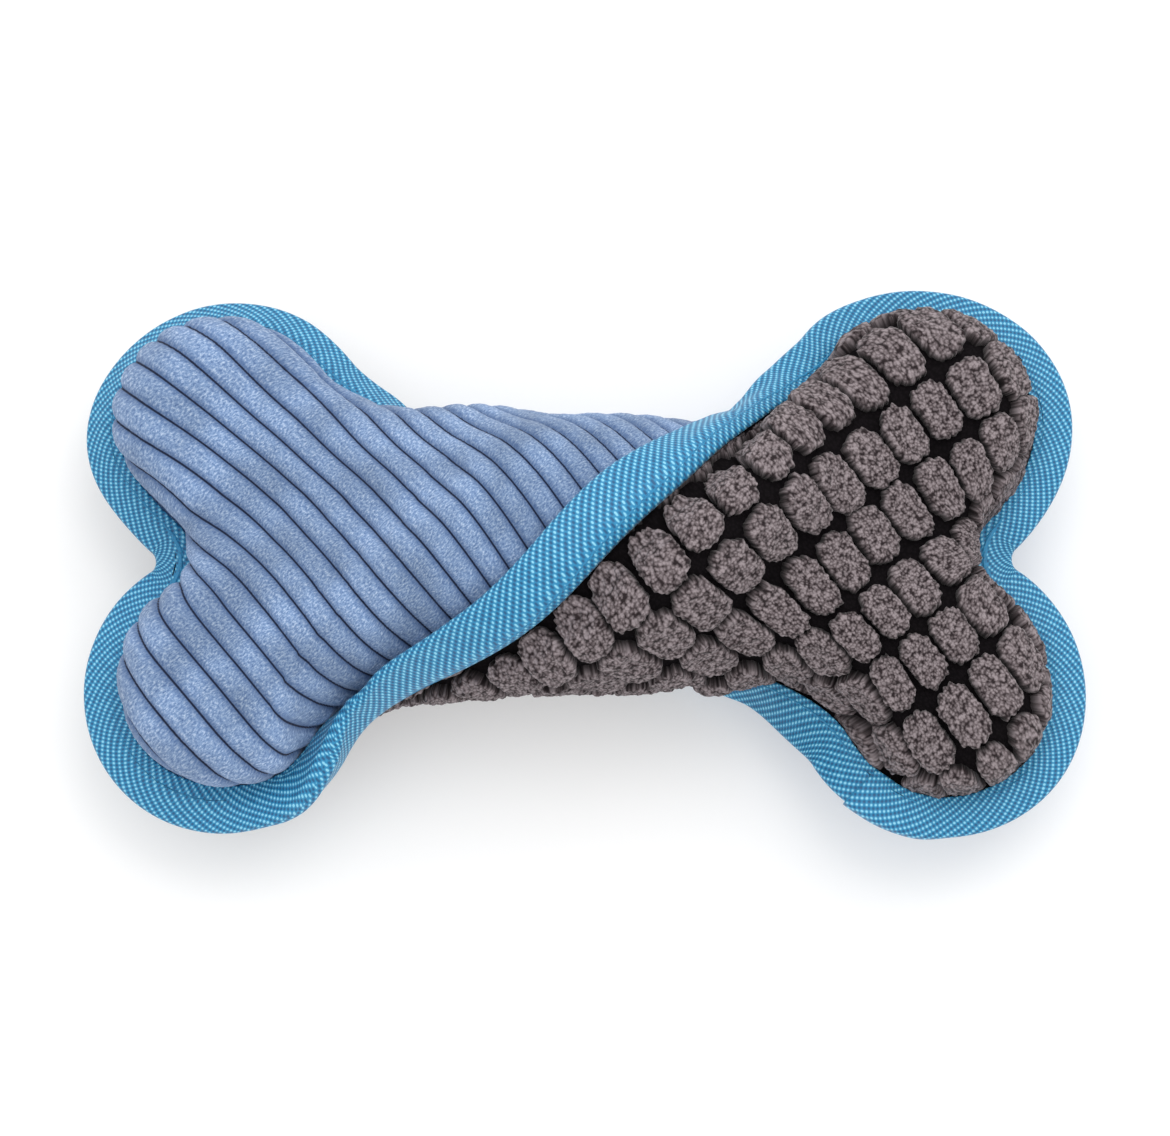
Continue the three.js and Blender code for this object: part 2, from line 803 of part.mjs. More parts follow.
const toy = new THREE.Group();
pieces.forEach(([name, geometry, material]) => {
  const pressed = name.endsWith("panel");
  const shape = pressed ? geometryOf(solidOf(geometry).subtract(belowSolid)) : geometry;
  shape.translate(-middle.x, -middle.y, -floorHeight);
  shape.computeVertexNormals();
  const mesh = new THREE.Mesh(shape, material);
  mesh.name = name;
  toy.add(mesh);
});

export default toy;
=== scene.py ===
"""A twisted, stuffed bone toy: corduroy on one side, tufted plush on the other, edged with folded tape."""
import math

import bmesh
import bpy
import numpy as np
from bpy.props import FloatProperty, FloatVectorProperty, IntProperty, PointerProperty
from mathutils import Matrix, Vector, noise


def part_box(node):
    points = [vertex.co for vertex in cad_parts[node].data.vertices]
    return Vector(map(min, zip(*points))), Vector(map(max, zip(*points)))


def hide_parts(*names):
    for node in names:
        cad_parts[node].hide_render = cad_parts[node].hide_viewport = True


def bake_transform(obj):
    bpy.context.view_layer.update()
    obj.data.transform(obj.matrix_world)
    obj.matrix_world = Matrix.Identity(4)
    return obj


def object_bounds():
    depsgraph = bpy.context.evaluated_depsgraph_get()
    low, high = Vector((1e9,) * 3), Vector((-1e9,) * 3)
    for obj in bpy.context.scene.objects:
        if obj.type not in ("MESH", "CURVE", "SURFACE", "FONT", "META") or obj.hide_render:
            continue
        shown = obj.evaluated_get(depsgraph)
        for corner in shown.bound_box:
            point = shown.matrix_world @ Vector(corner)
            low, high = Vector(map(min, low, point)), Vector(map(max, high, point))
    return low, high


bl_info = {
    "name": "Twisted Bone Toy",
    "version": (1, 0, 0),
    "blender": (4, 5, 0),
    "location": "View3D > Sidebar > Bone Toy",
    "description": "Dresses a twisted stuffed bone in corduroy, tufted plush and binding tape",
    "category": "Object",
}

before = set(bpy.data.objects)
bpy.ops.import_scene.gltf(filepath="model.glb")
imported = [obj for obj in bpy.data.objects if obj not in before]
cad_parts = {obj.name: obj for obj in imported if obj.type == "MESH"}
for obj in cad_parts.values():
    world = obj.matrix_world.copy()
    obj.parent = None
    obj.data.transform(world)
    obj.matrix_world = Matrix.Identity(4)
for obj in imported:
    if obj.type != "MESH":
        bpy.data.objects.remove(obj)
cad_low, cad_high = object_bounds()

MM = 0.001


def linear(code):
    """Linear colour with alpha from an sRGB hex code."""
    shares = [int(code[n:n + 2], 16) / 255 for n in (0, 2, 4)]
    return [s / 12.92 if s <= 0.04045 else ((s + 0.055) / 1.055) ** 2.4 for s in shares] + [1.0]


def length(name, description, millimetres):
    """A property in metres with its default in millimetres."""
    return FloatProperty(name=name, description=description, default=millimetres * MM, unit="LENGTH")


def portion(name, description, share):
    """A property for a share of a whole."""
    return FloatProperty(name=name, description=description, default=share, min=0, max=1)


def colour(name, description, code):
    """A colour property with its default as an sRGB hex code."""
    return FloatVectorProperty(name=name, description=description, default=linear(code), size=4,
                               subtype="COLOR", min=0, max=1)


class BoneSizes(bpy.types.PropertyGroup):
    """Sizes of the stuffed bone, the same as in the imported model"""
    seam_length: length("Seam length", "Length of the seam's outline, laid flat", 207)
    seam_width: length("Seam width", "Width of the seam's outline over two lobes", 104)
    lobe_radius: length("Lobe radius", "Radius of each of the four lobes", 22.5)
    notch_depth: length("Notch depth", "How far the end draws in between its lobes", 15.5)
    waist_width: length("Waist width", "Width of the flat outline at its middle", 53)
    shoulder_radius: length("Shoulder radius", "Radius between the waist and a lobe", 35)
    lobe_rise: length("Lobe rise", "Half thickness of the stuffed lobes", 26)
    waist_rise: length("Waist rise", "Half thickness of the stuffed waist", 31)
    lobe_height: length("Lobe height", "Height of the lobes' middle above the floor", 24)
    waist_height: length("Waist height", "Height of the waist's middle above the floor", 36)
    twist_length: length("Twist half length", "Half of the length that the twist takes", 70)
    twist_turn: FloatProperty(name="Twist", description="Turn between the two ends", default=math.pi,
                              unit="ROTATION")
    twist_middle: length("Twist middle", "Place of the twist's middle along the toy", 10.5)
    tube_radius: length("Tube radius", "Radius of the waist, seen as an even tube", 27.4)
    settle: length("Settle", "How far the left end sinks in on its tufts", 0.25)
    bulge: length("Bulge", "How far the stuffed cloth swells out over its seam", 5.5)
    lump_height: length("Lump height", "Unevenness of the stuffing under the cloth", 0.9)
    lump_size: length("Lump size", "Width of one lump of stuffing", 34)


class ClothSizes(bpy.types.PropertyGroup):
    """Sizes of the cloth, the tape and the thread"""
    wale_pitch: length("Wale pitch", "Distance between two corduroy wales", 5.95)
    wale_height: length("Wale height", "Height of a wale over its groove", 1.6)
    tuft_length: portion("Tuft length", "Share of a tuft's step that it fills lengthwise", 0.95)
    tuft_width: portion("Tuft width", "Share of a tuft's step that it fills widthwise", 0.91)
    tuft_height: length("Tuft height", "Height of one plush tuft over its ground", 3.4)
    cloth_half: length("Seam half", "Half thickness of the two cloths in the seam", 1.35)
    tape_inner: length("Tape inside", "From the seam's middle to the tape's inner face", 1.65)
    tape_outer: length("Tape outside", "From the seam's middle to the tape's outer face", 2.55)
    tape_start: length("Tape start", "From the seam line to the tape's selvedge", 2.5)
    fin_width: length("Fin width", "From the seam line to the tape's fold", 11.5)
    tape_lap: length("Tape lap", "How far the tape's end laps over its start", 14)
    weave_pitch: length("Weave pitch", "Distance between two slanting rows of the tape's weave", 1.35)
    float_pitch: length("Float pitch", "Distance between two thread floats in a row", 0.85)
    stitch_length: length("Stitch length", "Length of one stitch along the tape", 3.4)
    thread_width: length("Thread width", "Diameter of the sewing thread", 0.6)
    seed: IntProperty(name="Seed", description="Start of the random unevenness", default=7)


class SqueakerSizes(bpy.types.PropertyGroup):
    """Sizes of the squeaker and its pleated wall"""
    inset: length("Inset", "From the seam's left end to the squeaker's axis", 44)
    height: length("Height", "Height of the squeaker's bulb", 24)
    pleat_depth: length("Pleat depth", "Depth of the wall's pleats", 3)
    bellows_wall: length("Bellows wall", "Thickness of the pleated wall", 1)
    pleats: IntProperty(name="Pleats", description="Number of pleats in the wall", default=3)


class ToyColours(bpy.types.PropertyGroup):
    """Colours of the toy's cloth and plastic"""
    corduroy: colour("Corduroy", "Nap of the corduroy", "748EB4")
    corduroy_light: colour("Corduroy light", "Nap brushed towards the light", "BCCCE0")
    # Darker flecks of nap, and painted shade on the flanks of each wale
    corduroy_dark_and_flank_shade: colour("Corduroy dark", "Nap on the flanks of a wale", "44608C")
    # Painted shade in the groove between two wales
    corduroy_groove_shade: colour("Corduroy groove", "Ground between two wales", "101C38")
    tuft: colour("Tuft", "Pile of the plush tufts", "63595B")
    # Lighter pile: lighter clumps, and painted light on the tops of the loops
    tuft_light_and_highlight: colour("Tuft light", "Tips of the pile", "94898C")
    # Darker pile: darker clumps, and painted shade deep in the gaps between the loops
    tuft_dark_and_shade: colour("Tuft dark", "Depth of the pile", "2A2224")
    ground: colour("Ground", "Knitted ground between the tufts", "0E0B0D")
    tape: colour("Tape", "Face of the binding tape", "1D86B6")
    # Painted highlight on the thread floats of the tape's face
    tape_float_highlight: colour("Tape light", "Thread floats on the tape's face", "86CEE8")
    # Painted shade between the tape's threads, also used in the sewing thread's twist
    tape_shade: colour("Tape dark", "Depth between the tape's threads", "0C5682")
    fibre: colour("Fibre", "Polyester stuffing", "F1EFE9")
    bulb: colour("Bulb", "Squeaker's bulb", "F1F1EC")
    plug: colour("Plug", "Squeaker's plug", "E4E1D6")
    reed: colour("Reed", "Squeaker's reed", "D9C9A4")
    floor: colour("Floor", "Plain floor under the toy", "FFFFFF")


# How far the taped edge leans over at points along the toy: [x in mm, degrees towards the corduroy]
FRONT_LEAN = [
    [-98, -5], [-86, 4], [-74, 26], [-62, 60], [-50, 84], [-36, 92], [0, 92], [11, 90],
    [20, 88], [28, 88], [36, 88], [44, 74], [52, 40], [61, 8], [74, -6], [98, 0],
]
BACK_LEAN = [
    [-98, -25], [-66, -25], [-52, -30], [-38, -50], [-22, -78], [0, -86], [12, -82], [20, -64],
    [30, -24], [40, -4], [54, 0], [98, 0],
]
# The same on the two end edges, from the lower lobe to the upper one: [y in mm, degrees]
LEFT_LEAN = [[-46, -5], [0, -12], [46, -25]]
RIGHT_LEAN = [[-46, 0], [46, 0]]
# Where the stuffing pushes the toy off its even outline, in mm: [x, y, shift in x, shift in y, spread]
PUSHES = [
    [53, 46, -3.9, 3.9, 15], [75, 62, 0.6, 1, 13], [104, 10, -2.6, 1.4, 11], [111, -49, 0.8, -1, 14],
    [1, 3, -1, 1.6, 13], [-46, 40, 1.3, 1.3, 10], [-113, 30, -1.8, 0, 14], [-104, 9, 2, 1, 10],
    [-55, -46, 2.7, -2.3, 14], [42, 36, -2.2, 2.2, 9], [40, -33, 0, 2.8, 9],
    [110, 24, -1.6, -0.3, 11], [-107, 11, 1.6, 0, 8], [-60, 48, -1, -1.2, 9],
    [-72, -56, 0.3, 1.4, 13], [56, -40, 1.7, 2.5, 11], [-60, -42, -1.3, 1.8, 10],
    [32, 21, -0.8, 0.8, 8], [-40, -36, 0.5, -0.8, 8],
]
# Where the stuffing swells the cloth further over the tape, in mm: [x, y, swell, spread, side of the toy]
FULLER = [
    [-100, 42, 3, 15, 1], [-84, 58, 1.5, 12, 1], [80, 58, 4.5, 14, -1], [96, -52, 1.5, 12, -1],
    [58, -40, -5, 14, -1], [40, 30, 4, 9, -1], [104, 13, -4.2, 9, -1], [-100, 12, -2, 9, 1],
    [-28, -42, -2.5, 11, -1],
]

# Grid of the plush tufts on the cloth, along and across in mm: its start, its steps, and their bends
TUFT_START = np.array([50.8, 6.4])
TUFT_LONG = np.array([9.22, -11.05])
TUFT_WIDE = np.array([7.76, 6.51])
BEND_LONG = np.array([-0.3, 0])
BEND_BOTH = np.array([-0.19, 0])
BEND_WIDE = np.array([-0.05, -0.18])

# Where the twist draws the corduroy in beside the tape: [x, y, spread] in mm
PINCH = [33, 33, 10]

# Where the tape shows wider than elsewhere, in mm: [x, more, spread, 1 on the back edge or -1 on the front]
WIDER = [[54, 3, 13, 1], [-60, 2, 11, -1], [35, -3.6, 12, -1]]

# Share of the lean that the edge has taken up: [reach from the seam in mm, share]
LEAN_TAKEN = [[0, 0.05], [2.2, 0.2], [3.8, 0.6], [6.2, 1]]


def mix(start, end, share):
    return start + (end - start) * share


def ease(start, end, value):
    share = np.clip((value - start) / (end - start), 0, 1)
    return share * share * (3 - 2 * share)


def along(stops, places):
    """Values at places in mm, eased between neighbouring stops."""
    at, values = np.array(stops, float).T
    places = np.clip(places, at[0], at[-1])
    after = np.clip(np.searchsorted(at, places, side="right"), 1, len(at) - 1)
    return mix(values[after - 1], values[after], ease(at[after - 1], at[after], places))


def nearness(x, y, at_x, at_y, spread):
    """1 at a place, fading out over a spread round it."""
    return np.exp(-((x - at_x) ** 2 + (y - at_y) ** 2) / (2 * spread ** 2))


def hump(x, at, spread):
    return np.exp(-((x - at) / spread) ** 2)


def unit(vectors):
    return vectors / np.maximum(np.linalg.norm(vectors, axis=-1, keepdims=True), 1e-12)


def lumps(points, size, seed):
    """Smooth noise from -1 to 1 with features of a size."""
    scaled = (points.reshape(-1, 3) / size + seed * 17.3).tolist()
    return np.array([noise.noise(p) for p in scaled]).reshape(points.shape[:-1])


def spread_along(steps):
    """Even grid steps, drawn together where the cloth turns down at the ends."""
    turn = 0.75
    slope = 1 / (turn + (1 - turn) / 2)
    far = np.abs(steps)
    past = np.clip(far - turn, 0, None)
    return np.sign(steps) * slope * (far - past ** 2 / (2 * (1 - turn)))


def spread_across(steps):
    return np.sin(steps * math.pi / 2)


class BoneForm:
    """Outline, stuffing and twist of the bone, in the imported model's frame."""

    def __init__(self, sizes, cloth, squeaker):
        self.sizes = sizes
        self.cloth = cloth
        radius = sizes.lobe_radius
        self.lobe_x = sizes.seam_length / 2 - radius
        self.lobe_y = sizes.seam_width / 2 - radius
        waist_half = sizes.waist_width / 2
        notch_x = sizes.seam_length / 2 - sizes.notch_depth
        self.corner_x = self.lobe_x + radius * math.sqrt(0.5)
        self.corner_y = self.lobe_y + radius * math.sqrt(0.5)
        shoulder = sizes.shoulder_radius
        self.shoulder_y = waist_half + shoulder
        apart = math.sqrt((radius + shoulder) ** 2 - (self.shoulder_y - self.lobe_y) ** 2)
        self.shoulder_x = self.lobe_x - apart
        self.shoulder_meet = mix(self.shoulder_x, self.lobe_x, shoulder / (radius + shoulder))
        notch_step = notch_x - self.lobe_x
        self.notch_arc = (notch_step ** 2 + self.lobe_y ** 2 - radius ** 2) / (2 * (radius - notch_step))
        self.notch_arc_x = notch_x + self.notch_arc
        self.notch_meet = self.lobe_y * (1 - radius / (radius + self.notch_arc))
        # The squeaker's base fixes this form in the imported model's frame
        low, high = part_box("squeaker_base")
        middle = (low + high) / 2
        squeaker_x = squeaker.inset - sizes.seam_length / 2
        fill_gap = 0.5 * MM
        base_height = float(self.axis_height(np.array(squeaker_x))) + fill_gap - squeaker.height / 2
        self.shift = np.array([middle.x - squeaker_x, middle.y, low.z - base_height])

    def side_edge(self, x):
        far = np.abs(x)
        past = np.maximum(far - self.shoulder_x, 0)
        waist = self.shoulder_y - np.sqrt(np.maximum(self.sizes.shoulder_radius ** 2 - past ** 2, 0))
        lobe = self.lobe_y + np.sqrt(np.maximum(self.sizes.lobe_radius ** 2 - (far - self.lobe_x) ** 2, 0))
        return np.where(far < self.shoulder_meet, waist, lobe)

    def end_edge(self, y):
        far = np.abs(y)
        notch = self.notch_arc_x - np.sqrt(np.maximum(self.notch_arc ** 2 - far ** 2, 0))
        lobe = self.lobe_x + np.sqrt(np.maximum(self.sizes.lobe_radius ** 2 - (far - self.lobe_y) ** 2, 0))
        return np.where(far < self.notch_meet, notch, lobe)

    def flat(self, a, b):
        return a * self.end_edge(self.corner_y * b), b * self.side_edge(self.corner_x * a)

    def edge_share(self, a, b):
        """0 on the seam and 1 on the middle of the crown."""
        roundness = mix(2, 3.2, ease(0.2, 0.6, np.abs(a)))
        return np.sqrt(np.maximum((1 - np.abs(a) ** 8) * (1 - np.abs(b) ** roundness), 0))

    def rise(self, a, b):
        lobe = self.sizes.lobe_rise * (1 - 0.12 * np.exp(-((b / 0.4) ** 2)))
        crown = mix(self.sizes.waist_rise, lobe, ease(0.2, 0.6, np.abs(a)))
        return self.cloth.cloth_half + crown * self.edge_share(a, b)

    def turn(self, x):
        place = np.clip(x / self.sizes.twist_length, -1, 1)
        share = place - self.sizes.twist_middle / self.sizes.twist_length * (1 - place ** 2)
        return -(self.sizes.twist_turn / 2) * (1 + 1.5 * share - 0.5 * share ** 3)

    def axis_height(self, x):
        fall = ease(0.2 * self.lobe_x, self.lobe_x, np.abs(x))
        lobe_height = self.sizes.lobe_height - np.where(x < 0, self.sizes.settle, 0)
        return mix(self.sizes.waist_height, lobe_height, fall)

    def place(self, x, y, up):
        """The flat toy's points, turned by the twist and pushed by the stuffing; up is to the corduroy."""
        turn = self.turn(x)
        turned_y = y * np.cos(turn) - up * np.sin(turn)
        turned_z = y * np.sin(turn) + up * np.cos(turn) + self.axis_height(x)
        points = np.stack([x + 0 * turned_y, turned_y, turned_z], -1) + self.shift
        for at_x, at_y, shift_x, shift_y, spread in np.array(PUSHES) * MM:
            share = nearness(x, turned_y, at_x, at_y, spread)
            points[..., 0] += shift_x * share
            points[..., 1] += shift_y * share
        return points

    def lean(self, a, b):
        """Lean of the taped edge beside points of the toy, in radians towards the corduroy."""
        x, y = self.flat(a, b)
        sides = np.where(b < 0, along(FRONT_LEAN, x / MM), along(BACK_LEAN, x / MM))
        ends = np.where(a < 0, along(LEFT_LEAN, y / MM), along(RIGHT_LEAN, y / MM))
        return np.radians(mix(ends, sides, ease(-0.15, 0.15, np.abs(b) - np.abs(a))))

    def edge_point(self, a, b, reach, offset):
        """Points of the taped edge: reach from the seam, offset from its middle to the corduroy."""
        on_side = np.abs(b) >= 1 - 1e-9
        point = self.place(*self.flat(a, b), 0)
        step = 1e-4
        step_a = np.where(on_side, step, 0)
        step_b = np.where(on_side, 0, step)
        ahead = self.place(*self.flat(np.clip(a + step_a, -1, 1), np.clip(b + step_b, -1, 1)), 0)
        behind = self.place(*self.flat(np.clip(a - step_a, -1, 1), np.clip(b - step_b, -1, 1)), 0)
        run = unit(ahead - behind)
        out = point - self.place(*self.flat(a * 0.98, b * 0.96), 0)
        out = unit(out - run * np.sum(out * run, -1, keepdims=True))
        front = np.cross(run, out)
        lifted = self.place(*self.flat(a, b), MM) - point
        front *= np.where(np.sum(front * lifted, -1, keepdims=True) < 0, -1, 1)
        lean = self.lean(a, b)
        steps = 12
        stretch = reach / steps
        for n in range(steps):
            angle = lean * along(LEAN_TAKEN, (n + 0.5) * stretch / MM)
            point = point + (stretch * np.cos(angle))[..., None] * out
            point = point + (stretch * np.sin(angle))[..., None] * front
        facing = lean * along(LEAN_TAKEN, reach / MM)
        point = point + (offset * np.cos(facing))[..., None] * front
        return point - (offset * np.sin(facing))[..., None] * out


def grid_normals(points):
    return unit(np.cross(np.gradient(points, axis=0), np.gradient(points, axis=1)))


class Sheet:
    """One stuffed cloth panel as a grid of points; side is 1 for the corduroy and -1 for the plush."""

    def __init__(self, form, side, rows, columns):
        self.form = form
        self.side = side
        self.rows = rows
        self.columns = columns
        along_steps = spread_along(np.linspace(-1, 1, rows + 1))
        across_steps = spread_across(np.linspace(-1, 1, columns + 1))
        self.a, self.b = np.meshgrid(along_steps, across_steps, indexing="ij")
        x, y = form.flat(self.a, self.b)
        up = side * form.rise(self.a, self.b)
        self.points = form.place(x, y, up)
        self.normals = side * grid_normals(self.points)
        self.measure(x, y, up)
        self.swell()

    def measure(self, x, y, up):
        """Distances along the cloth from the toy's middle, as if the waist were an even tube."""
        tube_radius = self.form.sizes.tube_radius
        step_along = np.hypot(np.diff(x, axis=0), np.diff(up, axis=0))
        step_across = np.hypot(np.diff(y, axis=1), np.diff(up, axis=1))
        self.along = np.vstack([0 * x[:1], np.cumsum(step_along, axis=0)])
        self.along -= self.along[self.rows // 2]
        across = np.hstack([0 * x[:, :1], np.cumsum(step_across, axis=1)])
        self.to_seam = np.minimum(across, across[:, -1:] - across)
        self.to_seam = np.minimum(self.to_seam, np.minimum(self.along - self.along[:1],
                                                           self.along[-1:] - self.along))
        across -= across[:, self.columns // 2:self.columns // 2 + 1]
        turn = self.form.turn(x)
        if self.side > 0:
            self.across = across - tube_radius * turn
        else:
            self.across = -across - tube_radius * (math.pi + turn)

    def swell(self):
        """The stuffing pushes the cloth out over the seam, but not where the taped edge lies against it."""
        sizes = self.form.sizes
        share = self.form.edge_share(self.a, self.b)
        leaning = self.side * np.degrees(self.form.lean(self.a, self.b))
        pressed_from, pressed_flat = 24, 64
        free = 1 - ease(pressed_from, pressed_flat, leaning)
        x = self.points[..., 0]
        y = self.points[..., 1]
        if self.side > 0:
            free = free * (1 - nearness(x, y, *np.array(PINCH) * MM))
        fuller = 0
        for *numbers, side in FULLER:
            if side == self.side:
                at_x, at_y, more, spread = np.array(numbers) * MM
                fuller = fuller + more * nearness(x, y, at_x, at_y, spread)
        bulge = (sizes.bulge * free + fuller) * ease(0, 0.42, share) * (1 - ease(0.55, 1, share))
        small_size = sizes.lump_size / 2.2
        small_height = 0.45 * sizes.lump_height
        uneven = sizes.lump_height * lumps(self.points, sizes.lump_size, 3 + self.side)
        uneven += small_height * lumps(self.points, small_size, 5 + self.side)
        self.points = self.points + ((bulge + uneven * ease(0, 0.5, share))[..., None] * self.normals)
        self.normals = self.side * grid_normals(self.points)
        self.points = self.points + self.stuffed()[..., None] * self.normals
        self.normals = self.side * grid_normals(self.points)

    def stuffed(self):
        """Move of the cloth along its normals as the stuffing presses it, by a short cloth simulation."""
        rows, columns = 100, 46
        pressure = 4
        frames = 20
        furthest = 2.5 * MM
        smoothings = 6
        at_rows = np.linspace(0, self.rows, rows + 1)
        at_columns = np.linspace(0, self.columns, columns + 1)
        i, j = np.meshgrid(at_rows, at_columns, indexing="ij")
        points = self.sample(self.points, i, j)
        ways = unit(self.sample(self.normals, i, j))
        mesh = grid_mesh("cloth", rows, columns)
        row, column = grid_numbers(mesh, rows, columns)
        move_vertices(mesh, points[row, column])
        if self.side < 0:
            mesh.flip_normals()
        piece = bpy.data.objects.new("cloth", mesh)
        scene = bpy.context.scene
        scene.collection.objects.link(piece)
        rim = (row == 0) | (row == rows) | (column == 0) | (column == columns)
        piece.vertex_groups.new(name="seam").add(np.flatnonzero(rim).tolist(), 1.0, "REPLACE")
        settings = piece.modifiers.new("Cloth", "CLOTH").settings
        settings.vertex_group_mass = "seam"
        settings.use_pressure = True
        settings.uniform_pressure_force = pressure
        settings.effector_weights.gravity = 0
        for number in range(1, frames + 1):
            scene.frame_set(number)
        moved = vertex_places(piece.evaluated_get(bpy.context.evaluated_depsgraph_get()).data)
        bpy.data.objects.remove(piece)
        scene.frame_set(1)
        push = np.zeros((rows + 1, columns + 1))
        push[row, column] = np.sum((moved - points[row, column]) * ways[row, column], -1)
        push = np.clip(push, -furthest, furthest)
        push = np.stack([np.interp(np.arange(self.rows + 1), at_rows, line) for line in push.T], 1)
        push = np.stack([np.interp(np.arange(self.columns + 1), at_columns, line) for line in push])
        for _ in range(smoothings):
            push[1:-1] = (push[:-2] + 2 * push[1:-1] + push[2:]) / 4
            push[:, 1:-1] = (push[:, :-2] + 2 * push[:, 1:-1] + push[:, 2:]) / 4
        return push

    def raised(self, height):
        return self.points + height[..., None] * self.normals

    def sample(self, field, rows, columns):
        """Values of a field between its grid points."""
        i = np.clip(rows.astype(int), 0, self.rows - 1)
        j = np.clip(columns.astype(int), 0, self.columns - 1)
        s = rows - i
        t = columns - j
        if field.ndim == 3:
            s = s[..., None]
            t = t[..., None]
        near = mix(field[i, j], field[i + 1, j], s)
        far = mix(field[i, j + 1], field[i + 1, j + 1], s)
        return mix(near, far, t)

    def find(self, along_cloth, across_cloth, rows, columns):
        """Grid places of points given by their distances along the cloth, from a first guess."""
        tries = 12
        longest_step = 8
        smallest = 1e-12
        slopes = [np.gradient(self.along, axis=0), np.gradient(self.along, axis=1),
                  np.gradient(self.across, axis=0), np.gradient(self.across, axis=1)]
        for _ in range(tries):
            short_u = along_cloth - self.sample(self.along, rows, columns)
            short_w = across_cloth - self.sample(self.across, rows, columns)
            ui, uj, wi, wj = (self.sample(slope, rows, columns) for slope in slopes)
            scale = ui * wj - uj * wi
            scale = np.where(np.abs(scale) < smallest, smallest, scale)
            step_i = (short_u * wj - short_w * uj) / scale
            step_j = (short_w * ui - short_u * wi) / scale
            rows = np.clip(rows + np.clip(step_i, -longest_step, longest_step), 0, self.rows)
            columns = np.clip(columns + np.clip(step_j, -longest_step, longest_step), 0, self.columns)
        return rows, columns


def rest_on_floor(points):
    """The floor flattens what would go below it."""
    points[..., 2] = np.maximum(points[..., 2], 0.1 * MM)
    return points


def move_vertices(mesh, points):
    mesh.vertices.foreach_set("co", np.ascontiguousarray(points, np.float32).ravel())
    mesh.update()


def vertex_places(mesh):
    places = np.empty(len(mesh.vertices) * 3, np.float32)
    mesh.vertices.foreach_get("co", places)
    return places.reshape(-1, 3).astype(float)


def grid_mesh(name, rows, columns):
    bm = bmesh.new()
    bmesh.ops.create_grid(bm, x_segments=rows, y_segments=columns, size=1)
    return mesh_from(bm, name)


def grid_numbers(mesh, rows, columns):
    """Row and column of each vertex of a grid mesh that hasn't been moved yet."""
    steps = vertex_places(mesh)[:, :2]
    return np.rint((steps + 1) / 2 * [rows, columns]).astype(int).T


def set_uv(mesh, name, u, v):
    layer = mesh.uv_layers.new(name=name)
    corners = np.empty(len(mesh.loops), np.int32)
    mesh.loops.foreach_get("vertex_index", corners)
    layer.uv.foreach_set("vector", np.stack([u[corners], v[corners]], -1).astype(np.float32).ravel())


def set_values(mesh, name, values):
    mesh.attributes.new(name, "FLOAT", "POINT").data.foreach_set("value", values.astype(np.float32).ravel())


def new_piece(name, mesh, material):
    """Links a finished mesh as a piece of the toy with its material."""
    mesh.name = name
    mesh.shade_smooth()
    mesh.materials.append(material)
    piece = bpy.data.objects.new(name, mesh)
    bpy.context.scene.collection.objects.link(piece)
    return piece


def mesh_from(bm, name):
    mesh = bpy.data.meshes.new(name)
    bm.to_mesh(mesh)
    bm.free()
    return mesh


def press_with_lid(piece):
    """Bakes the piece's transform into its mesh."""
    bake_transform(piece)


def add(tree, kind, inputs=None, stops=None, **settings):
    """Adds a node; inputs are values or the sockets of other nodes, stops the points of a colour ramp."""
    node = tree.nodes.new(kind)
    for name, value in settings.items():
        setattr(node, name, value)
    for name, value in (inputs or {}).items():
        if isinstance(value, bpy.types.Node):
            tree.links.new(value.outputs[0], node.inputs[name])
        elif isinstance(value, bpy.types.NodeSocket):
            tree.links.new(value, node.inputs[name])
        else:
            node.inputs[name].default_value = value
    for n, (place, shade) in enumerate(stops or []):
        ramp = node.color_ramp.elements
        stop = ramp[n] if n < 2 else ramp.new(place)
        stop.position = place
        stop.color = shade
    return node


def new_material(name, **sockets):
    """A material with its shader's constant values."""
    material = bpy.data.materials.new(name)
    material.use_nodes = True
    tree = material.node_tree
    shader = tree.nodes["Principled BSDF"]
    for socket, value in sockets.items():
        shader.inputs[socket.replace("_", " ")].default_value = value
    return material, tree, shader


def shaded(shade, share):
    """A colour made darker or lighter by a share."""
    return [share * c for c in shade[:3]] + [1]


def cover(tree, shader, tint, relief, strength, depth):
    """Links a tint to the shader and gives it relief of a depth."""
    tree.links.new(tint, shader.inputs["Base Color"])
    bump = add(tree, "ShaderNodeBump", {"Strength": strength, "Distance": depth, "Height": relief})
    tree.links.new(bump.outputs[0], shader.inputs["Normal"])
    return bump


